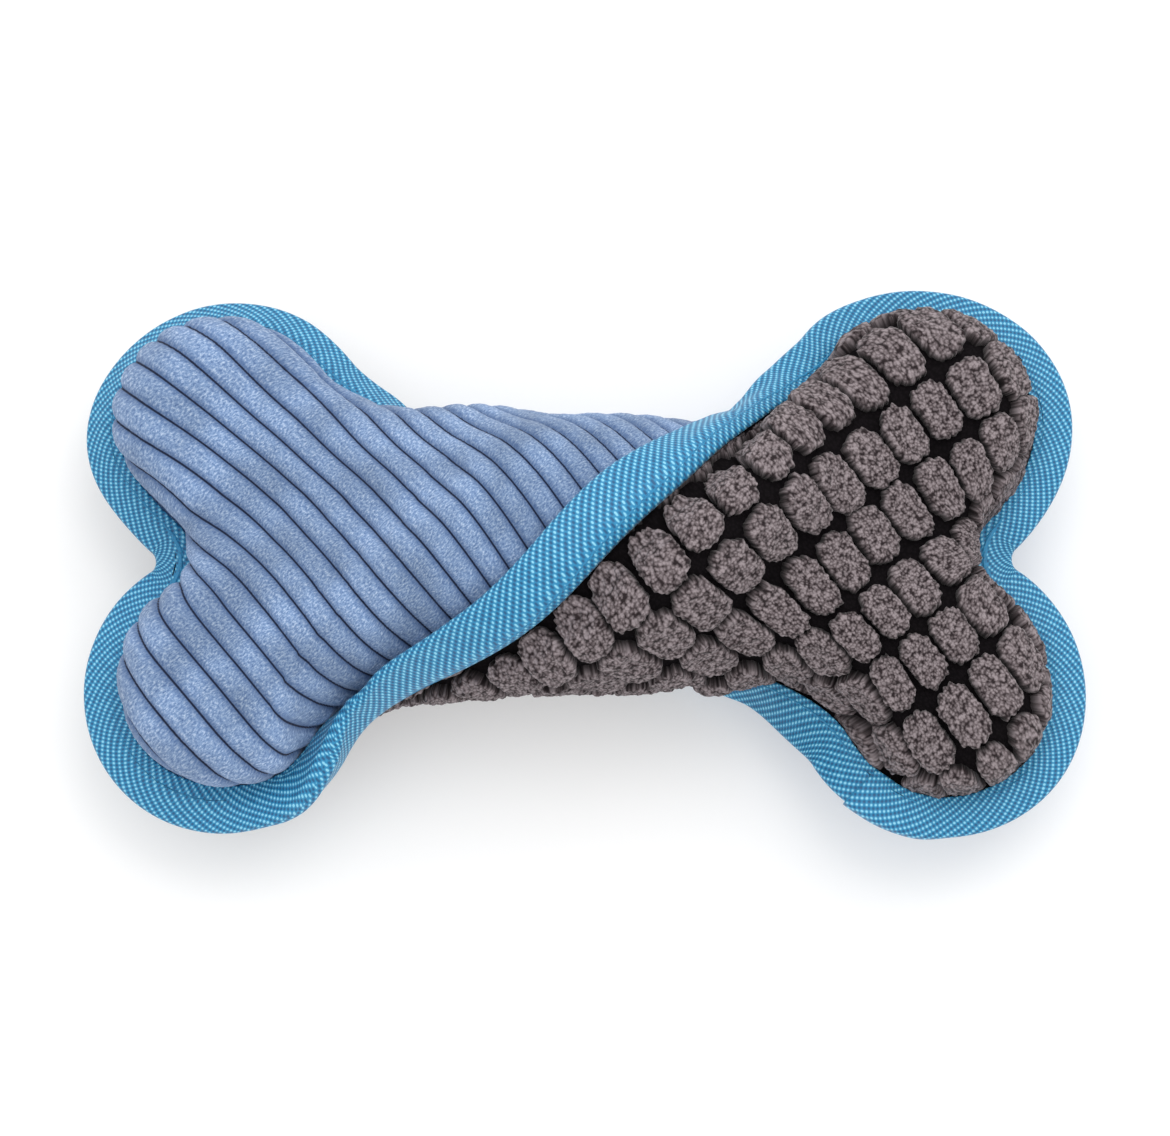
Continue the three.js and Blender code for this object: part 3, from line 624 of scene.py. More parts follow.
def corduroy_cotton(colours, cloth):
    # Cut cotton pile: round wales with a brushed, mottled nap; painted shade darkens the flanks of each
    # wale and the groove between them
    material, tree, shader = new_material("corduroy_cotton", Roughness=0.95, Sheen_Weight=0.12,
                                          Sheen_Roughness=0.5)
    uv = add(tree, "ShaderNodeUVMap", uv_map="cloth")
    split = add(tree, "ShaderNodeSeparateXYZ", {0: uv})
    wale = add(tree, "ShaderNodeMath", {0: split.outputs[1], 1: 1 / cloth.wale_pitch}, operation="MULTIPLY")
    share = add(tree, "ShaderNodeMath", {0: wale}, operation="FRACT")
    centred = add(tree, "ShaderNodeMath", {0: share, 1: 0.5}, operation="SUBTRACT")
    far = add(tree, "ShaderNodeMath", {0: centred}, operation="ABSOLUTE")
    # fibres lie across the wale, about twice as long as they are wide
    fibre_width = 0.42 * MM
    fibres = add(tree, "ShaderNodeVectorMath", {0: uv, 1: (1 / fibre_width, 0.55 / fibre_width, 1)},
                 operation="MULTIPLY")
    nap = add(tree, "ShaderNodeTexNoise", {0: fibres, "Scale": 1.0, "Detail": 3.0, "Roughness": 0.7},
              noise_dimensions="2D")
    patch_width = 15 * MM
    patch = add(tree, "ShaderNodeTexNoise", {0: uv, "Scale": 1 / patch_width, "Detail": 2.0},
                noise_dimensions="2D")
    nap_shade = add(tree, "ShaderNodeValToRGB", {0: nap}, stops=[
        (0.24, colours.corduroy_dark_and_flank_shade), (0.5, colours.corduroy), (0.78, colours.corduroy_light),
    ])
    patch_shade = add(tree, "ShaderNodeMapRange", {0: patch, 1: 0.3, 2: 0.7, 3: 0.8, 4: 1.18})
    brushed = add(tree, "ShaderNodeVectorMath", {0: nap_shade, 1: patch_shade}, operation="MULTIPLY")
    # Painted shade: the nap darkens towards the flanks of each wale
    flank_shade = add(tree, "ShaderNodeMapRange", {0: far, 1: 0.26, 2: 0.47, 3: 0.0, 4: 0.75})
    flank_shaded = add(tree, "ShaderNodeMix", {0: flank_shade, 6: brushed, 7: colours.corduroy_dark_and_flank_shade}, data_type="RGBA")
    # Painted shade: a thin dark line along each groove, only away from the seam
    groove = add(tree, "ShaderNodeMapRange", {0: far, 1: 0.455, 2: 0.475})
    inside = add(tree, "ShaderNodeAttribute", attribute_name="inside")
    groove = add(tree, "ShaderNodeMath", {0: groove, 1: inside.outputs["Fac"]}, operation="MULTIPLY")
    tinted = add(tree, "ShaderNodeMix", {0: groove, 6: flank_shaded.outputs[2], 7: colours.corduroy_groove_shade},
                 data_type="RGBA")
    cover(tree, shader, tinted.outputs[2], nap, 0.5, 0.3 * MM)
    return material


def boucle_pile(colours):
    # Looped polyester pile: matt loops under a millimetre wide in loose rows, with painted shade in the
    # gaps between them and painted light on their tops
    material, tree, shader = new_material("boucle_pile", Roughness=0.95, Specular_IOR_Level=0.15,
                                          Sheen_Weight=0.12, Sheen_Roughness=0.5)
    uv = add(tree, "ShaderNodeUVMap", uv_map="pile")
    loop_width = 0.72 * MM
    loops = add(tree, "ShaderNodeTexVoronoi", {0: uv, "Scale": 1 / loop_width, "Randomness": 0.9},
                voronoi_dimensions="2D")
    clump_width = 1.5 * MM
    clumps = add(tree, "ShaderNodeTexNoise",
                 {0: uv, "Scale": 1 / clump_width, "Detail": 3.0, "Roughness": 0.65}, noise_dimensions="2D")
    # Painted light and shade: each loop is lighter at its middle and darker at its edge, mixed with lighter
    # and darker clumps
    level = add(tree, "ShaderNodeMath", {0: loops, 1: -0.5, 2: clumps}, operation="MULTIPLY_ADD")
    shade = add(tree, "ShaderNodeValToRGB", {0: level}, stops=[
        (0.08, colours.tuft_dark_and_shade), (0.27, colours.tuft), (0.5, colours.tuft_light_and_highlight),
    ])
    # Painted shade: the pile darkens low on the tuft's sides and in the pits between nubs
    height = add(tree, "ShaderNodeAttribute", attribute_name="height")
    depth = add(tree, "ShaderNodeMapRange", {0: height.outputs["Fac"], 1: 0.1, 2: 0.85, 3: 0.25, 4: 1.05})
    tinted = add(tree, "ShaderNodeVectorMath", {0: shade, 1: depth}, operation="MULTIPLY")
    cover(tree, shader, tinted.outputs[0], level, 0.8, 0.6 * MM)
    return material


def knitted_ground(colours):
    # Fine black warp knit: matt, with a faint mesh of stitches
    material, tree, shader = new_material("knitted_ground", Roughness=0.95, Specular_IOR_Level=0.1)
    uv = add(tree, "ShaderNodeUVMap", uv_map="cloth")
    stitch_width = 0.8 * MM
    knit = add(tree, "ShaderNodeTexVoronoi", {0: uv, "Scale": 1 / stitch_width}, voronoi_dimensions="2D")
    shade = add(tree, "ShaderNodeValToRGB", {0: knit}, stops=[
        (0.1, shaded(colours.ground, 1.8)), (0.6, colours.ground),
    ])
    cover(tree, shader, shade.outputs[0], knit, 0.4, 0.3 * MM).invert = True
    return material


def herringbone_nylon(colours, cloth):
    # Woven nylon webbing: rows of thread floats that slant away from the fold on both sides, with painted
    # highlights on the floats and painted shade between the threads
    material, tree, shader = new_material("herringbone_nylon", Roughness=0.5, Sheen_Weight=0.1)
    uv = add(tree, "ShaderNodeUVMap", uv_map="tape")
    split = add(tree, "ShaderNodeSeparateXYZ", {0: uv})
    from_fold = add(tree, "ShaderNodeMath", {0: split.outputs[1]}, operation="ABSOLUTE")
    worn_width = 2.2 * MM
    wear = add(tree, "ShaderNodeTexNoise", {0: uv, "Scale": 1 / worn_width, "Detail": 2.0},
               noise_dimensions="2D")
    slant = math.radians(33)
    place = add(tree, "ShaderNodeCombineXYZ", {0: split.outputs[0], 1: from_fold})
    waves = []
    for way, pitch in (((math.sin(slant), math.cos(slant), 0), cloth.weave_pitch),
                       ((math.cos(slant), -math.sin(slant), 0), cloth.float_pitch)):
        distance = add(tree, "ShaderNodeVectorMath", {0: place, 1: way}, operation="DOT_PRODUCT")
        turn = add(tree, "ShaderNodeMath", {0: distance.outputs["Value"], 1: 2 * math.pi / pitch},
                   operation="MULTIPLY")
        waves.append(add(tree, "ShaderNodeMath", {0: turn}, operation="COSINE"))
    both = add(tree, "ShaderNodeMath", {0: waves[1], 1: 0.6, 2: waves[0]}, operation="MULTIPLY_ADD")
    level = add(tree, "ShaderNodeMapRange", {0: both, 1: -1.6, 2: 1.6})
    uneven = add(tree, "ShaderNodeMath", {0: wear, 1: 0.3, 2: level}, operation="MULTIPLY_ADD")
    # Painted highlight on the floats and painted shade between the threads
    shade = add(tree, "ShaderNodeValToRGB", {0: uneven}, stops=[
        (0.3, colours.tape_shade), (0.6, colours.tape), (0.84, colours.tape), (1.08, colours.tape_float_highlight),
    ])
    cover(tree, shader, shade.outputs[0], level, 0.7, 0.3 * MM)
    return material


def polyester_thread(colours):
    # Twisted sewing thread with a slight gloss
    material, tree, shader = new_material("polyester_thread", Roughness=0.45, Sheen_Weight=0.1)
    place = add(tree, "ShaderNodeTexCoord")
    twist_width = 0.5 * MM
    strands = add(tree, "ShaderNodeTexNoise",
                  {0: place.outputs["Object"], "Scale": 1 / twist_width, "Detail": 2.0})
    # The darker strands take the tape's painted shade colour, as shade in the thread's twist
    shade = add(tree, "ShaderNodeValToRGB", {0: strands},
                stops=[(0.2, colours.tape_shade), (0.5, colours.tape)])
    tree.links.new(shade.outputs[0], shader.inputs["Base Color"])
    return material


def polyester_fibre(colours):
    # Loose white stuffing fibre: matt, cloudy, with fine strands
    material, tree, shader = new_material("polyester_fibre", Roughness=1.0, Sheen_Weight=0.3)
    place = add(tree, "ShaderNodeTexCoord")
    cloud_width = 6 * MM
    cloud = add(tree, "ShaderNodeTexNoise",
                {0: place.outputs["Object"], "Scale": 1 / cloud_width, "Detail": 8.0})
    shade = add(tree, "ShaderNodeValToRGB", {0: cloud}, stops=[
        (0.3, shaded(colours.fibre, 0.75)), (0.7, colours.fibre),
    ])
    cover(tree, shader, shade.outputs[0], cloud, 0.6, 1.5 * MM)
    return material


def moulded_plastic(name, base, roughness, mottle_width):
    # Soft polyethylene or film: waxy gloss with a faint unevenness from its mould
    material, tree, shader = new_material(name, Roughness=roughness, IOR=1.51)
    place = add(tree, "ShaderNodeTexCoord")
    mottle = add(tree, "ShaderNodeTexNoise",
                 {0: place.outputs["Object"], "Scale": 1 / mottle_width, "Detail": 3.0})
    shade = add(tree, "ShaderNodeValToRGB", {0: mottle}, stops=[(0.35, shaded(base, 0.9)), (0.65, base)])
    cover(tree, shader, shade.outputs[0], mottle, 0.15, 0.2 * MM)
    return material


def bone_form(scene):
    return BoneForm(scene.bone_sizes, scene.cloth_sizes, scene.squeaker_sizes)


def panel_mesh(sheet, height, name):
    """Mesh of a sheet raised by a height, with its seam allowance under the tape."""
    form = sheet.form
    bm = bmesh.new()
    bmesh.ops.create_grid(bm, x_segments=sheet.rows, y_segments=sheet.columns, size=1)
    reach_layer = bm.verts.layers.float.new("reach")
    allowance = (2.5 * MM, 5.5 * MM)
    for reach in allowance:
        rim = [edge for edge in bm.edges if edge.is_boundary]
        grown = bmesh.ops.extrude_edge_only(bm, edges=rim)["geom"]
        for vertex in grown:
            if isinstance(vertex, bmesh.types.BMVert):
                vertex[reach_layer] = reach
    mesh = mesh_from(bm, name)
    rows, columns = grid_numbers(mesh, sheet.rows, sheet.columns)
    reach = np.empty(len(mesh.vertices), np.float32)
    mesh.attributes["reach"].data.foreach_get("value", reach)
    points = sheet.raised(height)[rows, columns]
    outside = reach > 0
    points[outside] = form.edge_point(sheet.a[rows, columns][outside], sheet.b[rows, columns][outside],
                                      reach[outside].astype(float),
                                      np.full(outside.sum(), sheet.side * form.cloth.cloth_half))
    move_vertices(mesh, rest_on_floor(points))
    if sheet.side < 0:
        mesh.flip_normals()
    return mesh, rows, columns


class TOY_OT_corduroy(bpy.types.Operator):
    """Make the corduroy side of the bone"""
    bl_idname = "toy.corduroy"
    bl_label = "Corduroy side"

    def execute(self, context):
        scene = context.scene
        cloth = scene.cloth_sizes
        sheet = Sheet(bone_form(scene), 1, 640, 290)
        run, phase = self.wales(sheet, cloth)
        tip_length = 2 * MM
        sewn_down = 1.5 * MM
        nap_height = 0.12 * MM
        nap_size = 1.3 * MM
        from_crest = np.abs((phase / cloth.wale_pitch) % 1 - 0.5) * 2
        round_wale = (1 - from_crest ** 2.4) ** 0.7
        tips = 1 - (1 - np.clip(sheet.to_seam / tip_length, 0, 1)) ** 2
        height = -cloth.wale_height * (1 - round_wale * np.sqrt(tips)) * ease(0, sewn_down, sheet.to_seam)
        height += nap_height * lumps(sheet.points, nap_size, cloth.seed) * tips
        mesh, rows, columns = panel_mesh(sheet, height, "corduroy_cloth")
        set_uv(mesh, "cloth", run[rows, columns], phase[rows, columns])
        # Keeps the painted groove shade off the cloth near the seam
        set_values(mesh, "inside", ease(2 * MM, 5 * MM, sheet.to_seam[rows, columns]))
        piece = new_piece("corduroy_cloth", mesh, corduroy_cotton(scene.toy_colours, cloth))
        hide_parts("corduroy_panel")
        press_with_lid(piece)
        return {"FINISHED"}

    @staticmethod
    def wales(sheet, cloth):
        """Distance along the wales and across them; they bend where the stuffing stretches the cloth."""
        turn = math.radians(40)
        first_groove = 9.05 * cloth.wale_pitch
        # the wales are straight at this place of the cloth
        middle_u = -58 * MM
        middle_w = -4 * MM
        u = sheet.along - middle_u
        w = sheet.across - middle_w
        run = w * math.cos(turn) - u * math.sin(turn)
        across = u * math.cos(turn) + w * math.sin(turn)
        # the bends level off on the underside
        level_u = 80 * MM
        level_w = 60 * MM
        bent_u = level_u * np.tanh(u / level_u)
        bent_w = level_w * np.tanh(w / level_w)
        bend = 1.52 * bent_u ** 2 - 2.21 * bent_u * bent_w + 1.7 * bent_w ** 2
        waver_height = 0.2 * MM
        waver_size = 26 * MM
        waver = waver_height * lumps(sheet.points, waver_size, cloth.seed + 2)
        return run, first_groove + across + bend + waver


def tuft_place(i, j):
    """Distances along and across the cloth at places of the tufts' grid; its bends level off underneath."""
    level_i = 5
    level_j = 8
    i = np.asarray(i, float)[..., None]
    j = np.asarray(j, float)[..., None]
    bent_i = level_i * np.tanh(i / level_i)
    bent_j = level_j * np.tanh(j / level_j)
    place = TUFT_START + i * TUFT_LONG + j * TUFT_WIDE
    place = place + BEND_LONG * bent_i ** 2 + BEND_BOTH * bent_i * bent_j + BEND_WIDE * bent_j ** 2
    return np.moveaxis(place * MM, -1, 0)


class TOY_OT_plush(bpy.types.Operator):
    """Make the plush side of the bone, with its tufts"""
    bl_idname = "toy.plush"
    bl_label = "Plush side"

    def execute(self, context):
        scene = context.scene
        cloth = scene.cloth_sizes
        sheet = Sheet(bone_form(scene), -1, 240, 110)
        sewn_down = 7 * MM
        height = -cloth.tuft_height * ease(0, sewn_down, sheet.to_seam)
        mesh, rows, columns = panel_mesh(sheet, height, "plush_ground")
        set_uv(mesh, "cloth", sheet.along[rows, columns], sheet.across[rows, columns])
        ground = new_piece("plush_ground", mesh, knitted_ground(scene.toy_colours))
        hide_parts("grid_plush_panel")
        press_with_lid(ground)
        self.tufts(scene, sheet, height)
        return {"FINISHED"}

    def tufts(self, scene, sheet, height):
        cloth = scene.cloth_sizes
        rng = np.random.default_rng(cloth.seed)
        centres = self.lattice(sheet)
        base = sheet.raised(height)
        pile = boucle_pile(scene.toy_colours)
        for name, low, high in (("left", 0, 0.36), ("waist", 0.36, 0.64), ("right", 0.64, 1.01)):
            group = [c for c in centres if low <= c[2] / sheet.rows < high]
            mesh = self.tuft_mesh(sheet, base, group, cloth, rng)
            piece = new_piece(f"plush_tufts_{name}", mesh, pile)
            press_with_lid(piece)

    @staticmethod
    def lattice(sheet):
        """Tufts by their number along and across, and the nearest place of the sheet's grid."""
        centres = []
        most = 24
        past_seam = 7 * MM
        for i in range(-most, most + 1):
            for j in range(-most, most + 1):
                u, w = tuft_place(i, j)
                away = np.hypot(sheet.along - u, sheet.across - w)
                row, column = np.unravel_index(np.argmin(away), away.shape)
                if away[row, column] < past_seam:
                    centres.append((i, j, row, column))
        return centres

    @staticmethod
    def tuft_mesh(sheet, base, centres, cloth, rng):
        """Frayed octagons with steep sides and nubbly tops, laid on the cloth's ground."""
        long_steps, wide_steps = 44, 32
        tuft_size = 14 * MM
        narrow = 0.7
        stretch = 1.4
        count = len(centres)
        bm = bmesh.new()
        for _ in centres:
            bmesh.ops.create_grid(bm, x_segments=long_steps, y_segments=wide_steps, size=1)
        mesh = mesh_from(bm, "tufts")
        steps = vertex_places(mesh).reshape(count, -1, 3)
        x = steps[..., 0]
        y = steps[..., 1]
        reach = np.maximum(np.abs(x), np.abs(y))
        rings = [0, 0.7, 0.86, 0.94, 0.98, 1]
        outward = np.interp(reach, rings, [0, 0.72, 0.9, 0.98, 1, 0.98])
        lift = np.interp(reach, rings, [1, 1, 0.93, 0.76, 0.4, 0])
        softness = 24
        chamfer = (np.abs(x) + 0.8 * np.abs(y)) / 1.42
        octagon = (np.abs(x) ** softness + np.abs(y) ** softness + chamfer ** softness) ** (1 / softness)
        spread = outward / np.maximum(octagon, 1e-9)
        size = rng.uniform(0.95, 1.03, (count, 2, 1))
        turn = np.radians(rng.uniform(-4, 4, (count, 1)))
        tall = rng.uniform(0.9, 1.1, (count, 1))
        slip = rng.uniform(-0.03, 0.03, (count, 2, 1))
        long_way = x * spread * size[:, 0] * cloth.tuft_length / 2
        wide_way = y * spread * size[:, 1] * cloth.tuft_width / 2
        number = np.arange(count)[:, None] + 0 * x
        seeds = np.stack([long_way, narrow * wide_way, 3 * number], -1) * tuft_size
        fray = lumps(seeds, 0.95 * MM, cloth.seed) * ease(0.6, 0.95, reach)
        long_way = long_way * (1 + 0.13 * fray)
        wide_way = wide_way * (1 + 0.11 * fray)
        i, j, row, column = np.array(centres).T[..., None]
        i = i + slip[:, 0] + long_way * np.cos(turn) - narrow * wide_way * np.sin(turn)
        j = j + slip[:, 1] + stretch * long_way * np.sin(turn) + wide_way * np.cos(turn)
        rows, columns = sheet.find(*tuft_place(i, j), row + 0 * x, column + 0 * x)
        nubs = lumps(seeds, 0.9 * MM, cloth.seed + 4)
        swells = lumps(seeds, 3 * MM, cloth.seed + 5)
        near_seam = ease(0, 4 * MM, sheet.sample(sheet.to_seam, rows, columns))
        height = cloth.tuft_height * tall * lift * mix(0.75, 1, near_seam)
        height += (0.5 * nubs + 0.4 * swells) * MM * ease(1, 0.85, reach)
        ways = unit(sheet.sample(sheet.normals, rows, columns))
        points = sheet.sample(base, rows, columns) + height[..., None] * ways
        move_vertices(mesh, rest_on_floor(points.reshape(-1, 3)))
        mesh.flip_normals()
        # Height share that drives the painted shade low on the tuft's sides and between nubs
        set_values(mesh, "height", lift * (0.85 + 0.3 * nubs))
        apart = 40 * MM * number
        pile_u = long_way * tuft_size + apart
        pile_v = narrow * wide_way * tuft_size
        set_uv(mesh, "pile", pile_u.ravel(), pile_v.ravel())
        return mesh


class TOY_OT_tape(bpy.types.Operator):
    """Make the binding tape folded over the edge"""
    bl_idname = "toy.tape"
    bl_label = "Binding tape"

    def execute(self, context):
        scene = context.scene
        cloth = scene.cloth_sizes
        form = bone_form(scene)
        a, b, distance, extra = tape_stations(form, 0.5 * MM)
        reach, offset, across = self.section(cloth)
        mesh = grid_mesh("edge_tape", len(a) - 1, len(reach) - 1)
        station, corner = grid_numbers(mesh, len(a) - 1, len(reach) - 1)
        wider, gape, further = self.widths(form, a, b)
        reach = reach[corner]
        offset = offset[corner]
        grown = extra[station]
        out = reach + (grown + wider[station]) * ease(cloth.tape_start, cloth.fin_width, reach)
        out = out - further[station] * (1 - ease(cloth.tape_start, 7.5 * MM, reach))
        side = offset * (1 + gape[station]) + grown * np.sign(offset)
        points = form.edge_point(a[station], b[station], out, side)
        waver_height = 0.35 * MM
        waver_size = 9 * MM
        waver = lumps(points, waver_size, cloth.seed + 8) * ease(2.5 * MM, 8 * MM, out)
        points[:, 2] += waver_height * waver
        move_vertices(mesh, rest_on_floor(points))
        set_uv(mesh, "tape", distance[station], across[corner])
        piece = new_piece("edge_tape", mesh, herringbone_nylon(scene.toy_colours, cloth))
        weld(piece.data)
        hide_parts("binding_tape")
        press_with_lid(piece)
        return {"FINISHED"}

    @staticmethod
    def widths(form, a, b):
        """The tape's extra width along the seam, the gaping of its fold, and the shift of its selvedge."""
        x = form.flat(a, b)[0]
        # it shows its full width where it is pressed flat on the cloth
        pressed = 3.4 * MM
        wider = pressed * ease(math.radians(80), math.radians(90), np.abs(form.lean(a, b)))
        for at, more, spread, edge in WIDER:
            wider = wider + more * MM * hump(x, at * MM, spread * MM) * (b * edge > 0)
        # the fold gapes where it turns over onto the corduroy
        gape = 0.8 * hump(x, -64 * MM, 11 * MM) * (b < 0)
        # the selvedge lies further in on the lower left lobe
        further = 1.8 * MM * hump(x, -84 * MM, 20 * MM) * ease(-0.5, -0.95, b)
        return wider, gape, further

    @staticmethod
    def section(cloth):
        """Folded tape's outline: reach, offset, and distance across from the fold."""
        fold_radius = 1.3 * MM
        thinner = 1.2 * MM
        straight = np.linspace(cloth.tape_start, cloth.fin_width - fold_radius, 19)
        thick = cloth.tape_outer - thinner * ease(cloth.tape_start + 2 * MM, cloth.fin_width, straight)
        turn = np.linspace(0, math.pi / 2, 8)[1:]
        reach = np.concatenate([straight, cloth.fin_width - fold_radius * (1 - np.sin(turn))])
        offset = np.concatenate([thick, thick[-1] * np.cos(turn)])
        reach = np.concatenate([reach, reach[-2::-1]])
        offset = np.concatenate([offset, -offset[-2::-1]])
        steps = np.hypot(np.diff(reach), np.diff(offset))
        across = np.concatenate([[0], np.cumsum(steps)])
        across -= across[-1] / 2
        inner_reach = np.array([0.2, 3, 7, 8, 8, 7, 3, 0.2]) * MM + cloth.tape_start
        inner_offset = np.array([-1, -0.9, -0.5, -0.3, 0.3, 0.5, 0.9, 1]) * cloth.tape_inner
        reach = np.concatenate([reach, inner_reach, reach[:1]])
        offset = np.concatenate([offset, inner_offset, offset[:1]])
        inner_across = np.linspace(across[-1], across[0], len(inner_reach) + 2)[1:]
        return reach, offset, np.concatenate([across, inner_across])


def weld(mesh):
    bm = bmesh.new()
    bm.from_mesh(mesh)
    bmesh.ops.remove_doubles(bm, verts=bm.verts, dist=0.001 * MM)
    ends = [edge for edge in bm.edges if edge.is_boundary]
    if ends:
        bmesh.ops.holes_fill(bm, edges=ends, sides=0)
    bmesh.ops.recalc_face_normals(bm, faces=bm.faces)
    bm.to_mesh(mesh)
    bm.free()


def seam_loop(count):
    """Seam points once round the flat toy: front edge, right end, back edge, left end."""
    steps = spread_along(np.linspace(-1, 1, count + 1))
    end_steps = spread_across(np.linspace(-1, 1, count // 2 + 1))
    ones = np.ones(count)
    end_ones = np.ones(count // 2)
    a = np.concatenate([steps[:-1], end_ones, steps[:0:-1], -end_ones])
    b = np.concatenate([-ones, end_steps[:-1], ones, end_steps[:0:-1]])
    return a, b


def tape_stations(form, step):
    """Even stations along the tape, from its start on the lower right lobe to its lapped end."""
    lap_place = 0.8
    rise_length = 8 * MM
    thickness = 0.7 * MM
    a, b = seam_loop(1200)
    lap_start = np.argmax((b == 1) & (a < lap_place))
    a = np.roll(a, -lap_start)
    b = np.roll(b, -lap_start)
    laps = len(a) // 8
    a = np.concatenate([a, a[:laps]])
    b = np.concatenate([b, b[:laps]])
    to_middle = 6 * MM
    middle = form.edge_point(a, b, 0 * a + to_middle, 0 * a)
    distance = np.concatenate([[0], np.cumsum(np.linalg.norm(np.diff(middle, axis=0), axis=1))])
    around = distance[len(a) - laps]
    total = around + form.cloth.tape_lap
    places = np.linspace(0, total, int(total / step))
    extra = thickness * ease(around - rise_length, around, places)
    return np.interp(places, distance, a), np.interp(places, distance, b), places, extra


class TOY_OT_stitches(bpy.types.Operator):
    """Make the rows of stitches along the tape"""
    bl_idname = "toy.stitches"
    bl_label = "Stitches"

    def execute(self, context):
        scene = context.scene
        form = bone_form(scene)
        thread = polyester_thread(scene.toy_colours)
        for name, side in (("needle", 1), ("bobbin", -1)):
            piece = new_piece(f"{name}_stitches", self.row(form, side), thread)
            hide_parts(f"{name}_thread")
            press_with_lid(piece)
        return {"FINISHED"}

    @staticmethod
    def row(form, side):
        cloth = form.cloth
        a, b, distance, extra = tape_stations(form, 0.5 * MM)
        around = distance[-1] - cloth.tape_lap
        count = int(around / cloth.stitch_length)
        bm = bmesh.new()
        for _ in range(count):
            bmesh.ops.create_uvsphere(bm, u_segments=6, v_segments=7, radius=1)
        mesh = mesh_from(bm, "stitches")
        x, y, z = np.moveaxis(vertex_places(mesh).reshape(count, -1, 3), -1, 0)
        middle = (np.arange(count) + 0.5) * cloth.stitch_length
        half_stitch = 0.46 * cloth.stitch_length
        run = middle[:, None] + z * half_stitch
        lap = extra[-1] * ease(around - 3 * MM, around, run)
        lap = np.maximum(lap, extra[-1] * (run < cloth.tape_lap))
        # a stitch is blunter than an egg and sinks in at both ends
        blunt = np.sqrt(np.clip(1 - z ** 4, 0, 1)) / np.sqrt(np.clip(1 - z ** 2, 1e-6, 1))
        sunk = -0.25 * MM * z ** 2
        radius = cloth.thread_width / 2
        reach = cloth.tape_start + 2 * MM + radius * x * blunt
        offset = cloth.tape_outer + lap - radius * 0.6 + sunk + radius * y * blunt
        a = np.interp(run, distance, a)
        b = np.interp(run, distance, b)
        points = form.edge_point(a, b, reach, side * offset)
        move_vertices(mesh, points.reshape(-1, 3))
        weld(mesh)
        return mesh


class TOY_OT_stuffing(bpy.types.Operator):
    """Make the six wads of stuffing fibre"""
    bl_idname = "toy.stuffing"
    bl_label = "Stuffing"

    def execute(self, context):
        scene = context.scene
        fibre = polyester_fibre(scene.toy_colours)
        for place in ("left", "waist", "right"):
            for side in ("corduroy", "plush"):
                node = f"{place}_fill_{side}_side"
                piece = new_piece(f"fibre_{place}_{side}", self.wad(node), fibre)
                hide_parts(node)
                press_with_lid(piece)
        return {"FINISHED"}

    @staticmethod
    def wad(node):
        bm = bmesh.new()
        bm.from_mesh(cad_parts[node].data)
        bmesh.ops.remove_doubles(bm, verts=bm.verts, dist=0.01 * MM)
        source = bpy.data.objects.new("wad", mesh_from(bm, "wad"))
        bpy.context.scene.collection.objects.link(source)
        remesh = source.modifiers.new("Remesh", "REMESH")
        remesh.mode = "VOXEL"
        remesh.voxel_size = 2.4 * MM
        mesh = bpy.data.meshes.new_from_object(source.evaluated_get(bpy.context.evaluated_depsgraph_get()))
        bpy.data.objects.remove(source)
        points = vertex_places(mesh)
        ways = np.empty(len(mesh.vertices) * 3, np.float32)
        mesh.vertex_normals.foreach_get("vector", ways)
        dent = 1.8 * MM + 0.6 * MM * lumps(points, 7 * MM, 3)
        move_vertices(mesh, points - dent[:, None] * ways.reshape(-1, 3))
        return mesh


class TOY_OT_squeaker(bpy.types.Operator):
    """Make the squeaker's bulb, plug and reed"""
    bl_idname = "toy.squeaker"
    bl_label = "Squeaker"

    def execute(self, context):
        colours = context.scene.toy_colours
        bulb = moulded_plastic("soft_polyethylene", colours.bulb, 0.38, 4 * MM)
        plug = moulded_plastic("moulded_polyethylene", colours.plug, 0.45, 3 * MM)
        reed = moulded_plastic("polyester_film", colours.reed, 0.3, 2 * MM)
        for name, finish in (("base", bulb), ("lid", bulb), ("plug", plug), ("reed", reed)):
            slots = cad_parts[f"squeaker_{name}"].data.materials
            slots.clear()
            slots.append(finish)
        self.bellows(context.scene.squeaker_sizes, bulb)
        return {"FINISHED"}

    @staticmethod
    def bellows(sizes, finish):
        """The pleated wall, turned about the squeaker's axis."""
        low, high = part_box("squeaker_bellows")
        axis = (low + high) / 2
        outside = (high.x - low.x) / 2
        steps = 12 * sizes.pleats
        bm = bmesh.new()
        corners = []
        for n in range(steps + 1):
            wave = (1 + math.cos(2 * math.pi * sizes.pleats * n / steps)) / 2
            radius = outside - sizes.pleat_depth * wave
            corners.append(bm.verts.new((axis.x + radius, axis.y, mix(low.z, high.z, n / steps))))
        for n in range(steps, -1, -1):
            point = corners[n].co - Vector((sizes.bellows_wall, 0, 0))
            corners.append(bm.verts.new(point))
        rim = [bm.edges.new((corners[n - 1], corners[n])) for n in range(len(corners))]
        bmesh.ops.spin(bm, geom=corners + rim, cent=axis, axis=(0, 0, 1), angle=2 * math.pi, steps=64,
                       use_merge=True)
        bmesh.ops.remove_doubles(bm, verts=bm.verts, dist=0.001 * MM)
        bmesh.ops.recalc_face_normals(bm, faces=bm.faces)
        piece = new_piece("pleated_wall", mesh_from(bm, "pleated_wall"), finish)
        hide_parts("squeaker_bellows")
        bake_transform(piece)


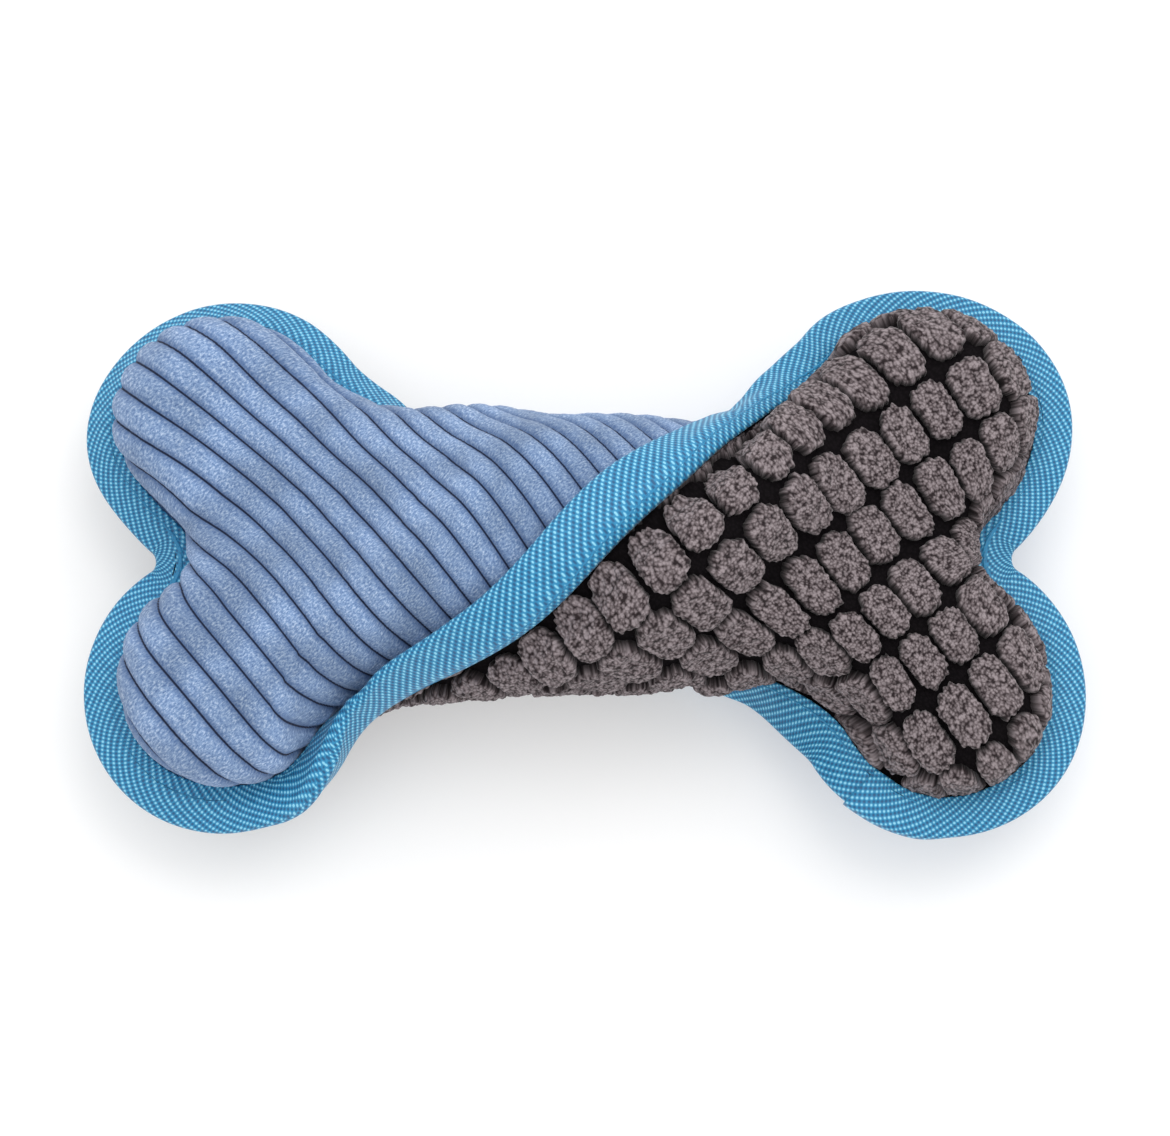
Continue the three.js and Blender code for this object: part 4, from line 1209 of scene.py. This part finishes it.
class TOY_OT_stage(bpy.types.Operator):
    """Make the floor, the light and the camera"""
    bl_idname = "toy.stage"
    bl_label = "Floor, light and camera"

    def execute(self, context):
        scene = context.scene
        scene.view_settings.view_transform = "Standard"
        self.floor(scene)
        self.light(scene)
        self.camera(scene)
        return {"FINISHED"}

    @staticmethod
    def floor(scene):
        bm = bmesh.new()
        bmesh.ops.create_grid(bm, x_segments=1, y_segments=1, size=3)
        # A white sheet lit from below too, which keeps the toy's shadow pale
        glow = 0.3
        material, _, shader = new_material("white_floor", Roughness=0.8, Emission_Color=(1, 1, 1, 1),
                                           Emission_Strength=glow)
        shader.inputs["Base Color"].default_value = shaded(scene.toy_colours.floor, 1 - glow)
        floor = bpy.data.objects.new("floor", mesh_from(bm, "floor"))
        floor.data.materials.append(material)
        scene.collection.objects.link(floor)

    @staticmethod
    def light(scene):
        world = bpy.data.worlds.new("soft_light")
        world.use_nodes = True
        scene.world = world
        tree = world.node_tree
        tree.nodes["Background"].inputs["Strength"].default_value = 0.9
        tree.nodes["Background"].inputs["Color"].default_value = (1, 1, 1, 1)
        white = add(tree, "ShaderNodeBackground", {"Color": (1, 1, 1, 1), "Strength": 1.0})
        path = add(tree, "ShaderNodeLightPath")
        seen = path.outputs["Is Camera Ray"]
        for ray in ("Is Glossy Ray", "Is Transmission Ray"):
            seen = add(tree, "ShaderNodeMath", {0: seen, 1: path.outputs[ray]}, operation="MAXIMUM")
        both = add(tree, "ShaderNodeMixShader", {0: seen, 1: tree.nodes["Background"], 2: white})
        tree.links.new(both.outputs[0], tree.nodes["World Output"].inputs[0])
        lamps = (("key", (0.35, 0.6, 1.2), 1.0, 6), ("top", (-0.3, 0.1, 1.6), 1.4, 4))
        for name, spot, size, power in lamps:
            lamp = bpy.data.lights.new(name, "AREA")
            lamp.size = size
            lamp.energy = power
            holder = bpy.data.objects.new(name, lamp)
            holder.location = spot
            holder.rotation_euler = (-Vector(spot)).to_track_quat("-Z", "Y").to_euler()
            scene.collection.objects.link(holder)

    @staticmethod
    def camera(scene):
        """Nearly straight above, leaning towards the front as the photograph does."""
        elevation = math.radians(79)
        distance = 1.0
        seen_width = 267.2 * MM
        middle = (cad_low + cad_high) / 2
        target = middle + Vector((0.8, -3.5, 0)) * MM
        camera = bpy.data.cameras.new("camera")
        camera.sensor_width = 36
        camera.lens = camera.sensor_width * distance / seen_width
        holder = bpy.data.objects.new("camera", camera)
        away = Vector((0, -math.cos(elevation), math.sin(elevation)))
        holder.location = target + distance * away
        holder.rotation_euler = (-away).to_track_quat("-Z", "Y").to_euler()
        scene.collection.objects.link(holder)
        scene.camera = holder


class TOY_PT_parts(bpy.types.Panel):
    """Lists the toy's pieces"""
    bl_idname = "TOY_PT_parts"
    bl_label = "Bone Toy"
    bl_space_type = "VIEW_3D"
    bl_region_type = "UI"
    bl_category = "Bone Toy"

    def draw(self, context):
        for operator in OPERATORS:
            self.layout.operator(operator.bl_idname)
        for name in GROUPS:
            group = getattr(context.scene, name)
            for prop in group.__annotations__:
                self.layout.prop(group, prop)


GROUPS = {
    "bone_sizes": BoneSizes,
    "cloth_sizes": ClothSizes,
    "squeaker_sizes": SqueakerSizes,
    "toy_colours": ToyColours,
}
OPERATORS = (TOY_OT_stage, TOY_OT_corduroy, TOY_OT_plush, TOY_OT_tape, TOY_OT_stitches, TOY_OT_stuffing,
             TOY_OT_squeaker)


def register():
    for group in (*GROUPS.values(), *OPERATORS, TOY_PT_parts):
        bpy.utils.register_class(group)
    for name, group in GROUPS.items():
        setattr(bpy.types.Scene, name, PointerProperty(type=group))


def unregister():
    for name in GROUPS:
        delattr(bpy.types.Scene, name)
    for group in (TOY_PT_parts, *reversed(OPERATORS), *GROUPS.values()):
        bpy.utils.unregister_class(group)


def main():
    register()
    bpy.ops.toy.stage()
    bpy.ops.toy.corduroy()
    bpy.ops.toy.plush()
    bpy.ops.toy.tape()
    bpy.ops.toy.stitches()
    bpy.ops.toy.stuffing()
    bpy.ops.toy.squeaker()


if __name__ == "__main__":
    main()
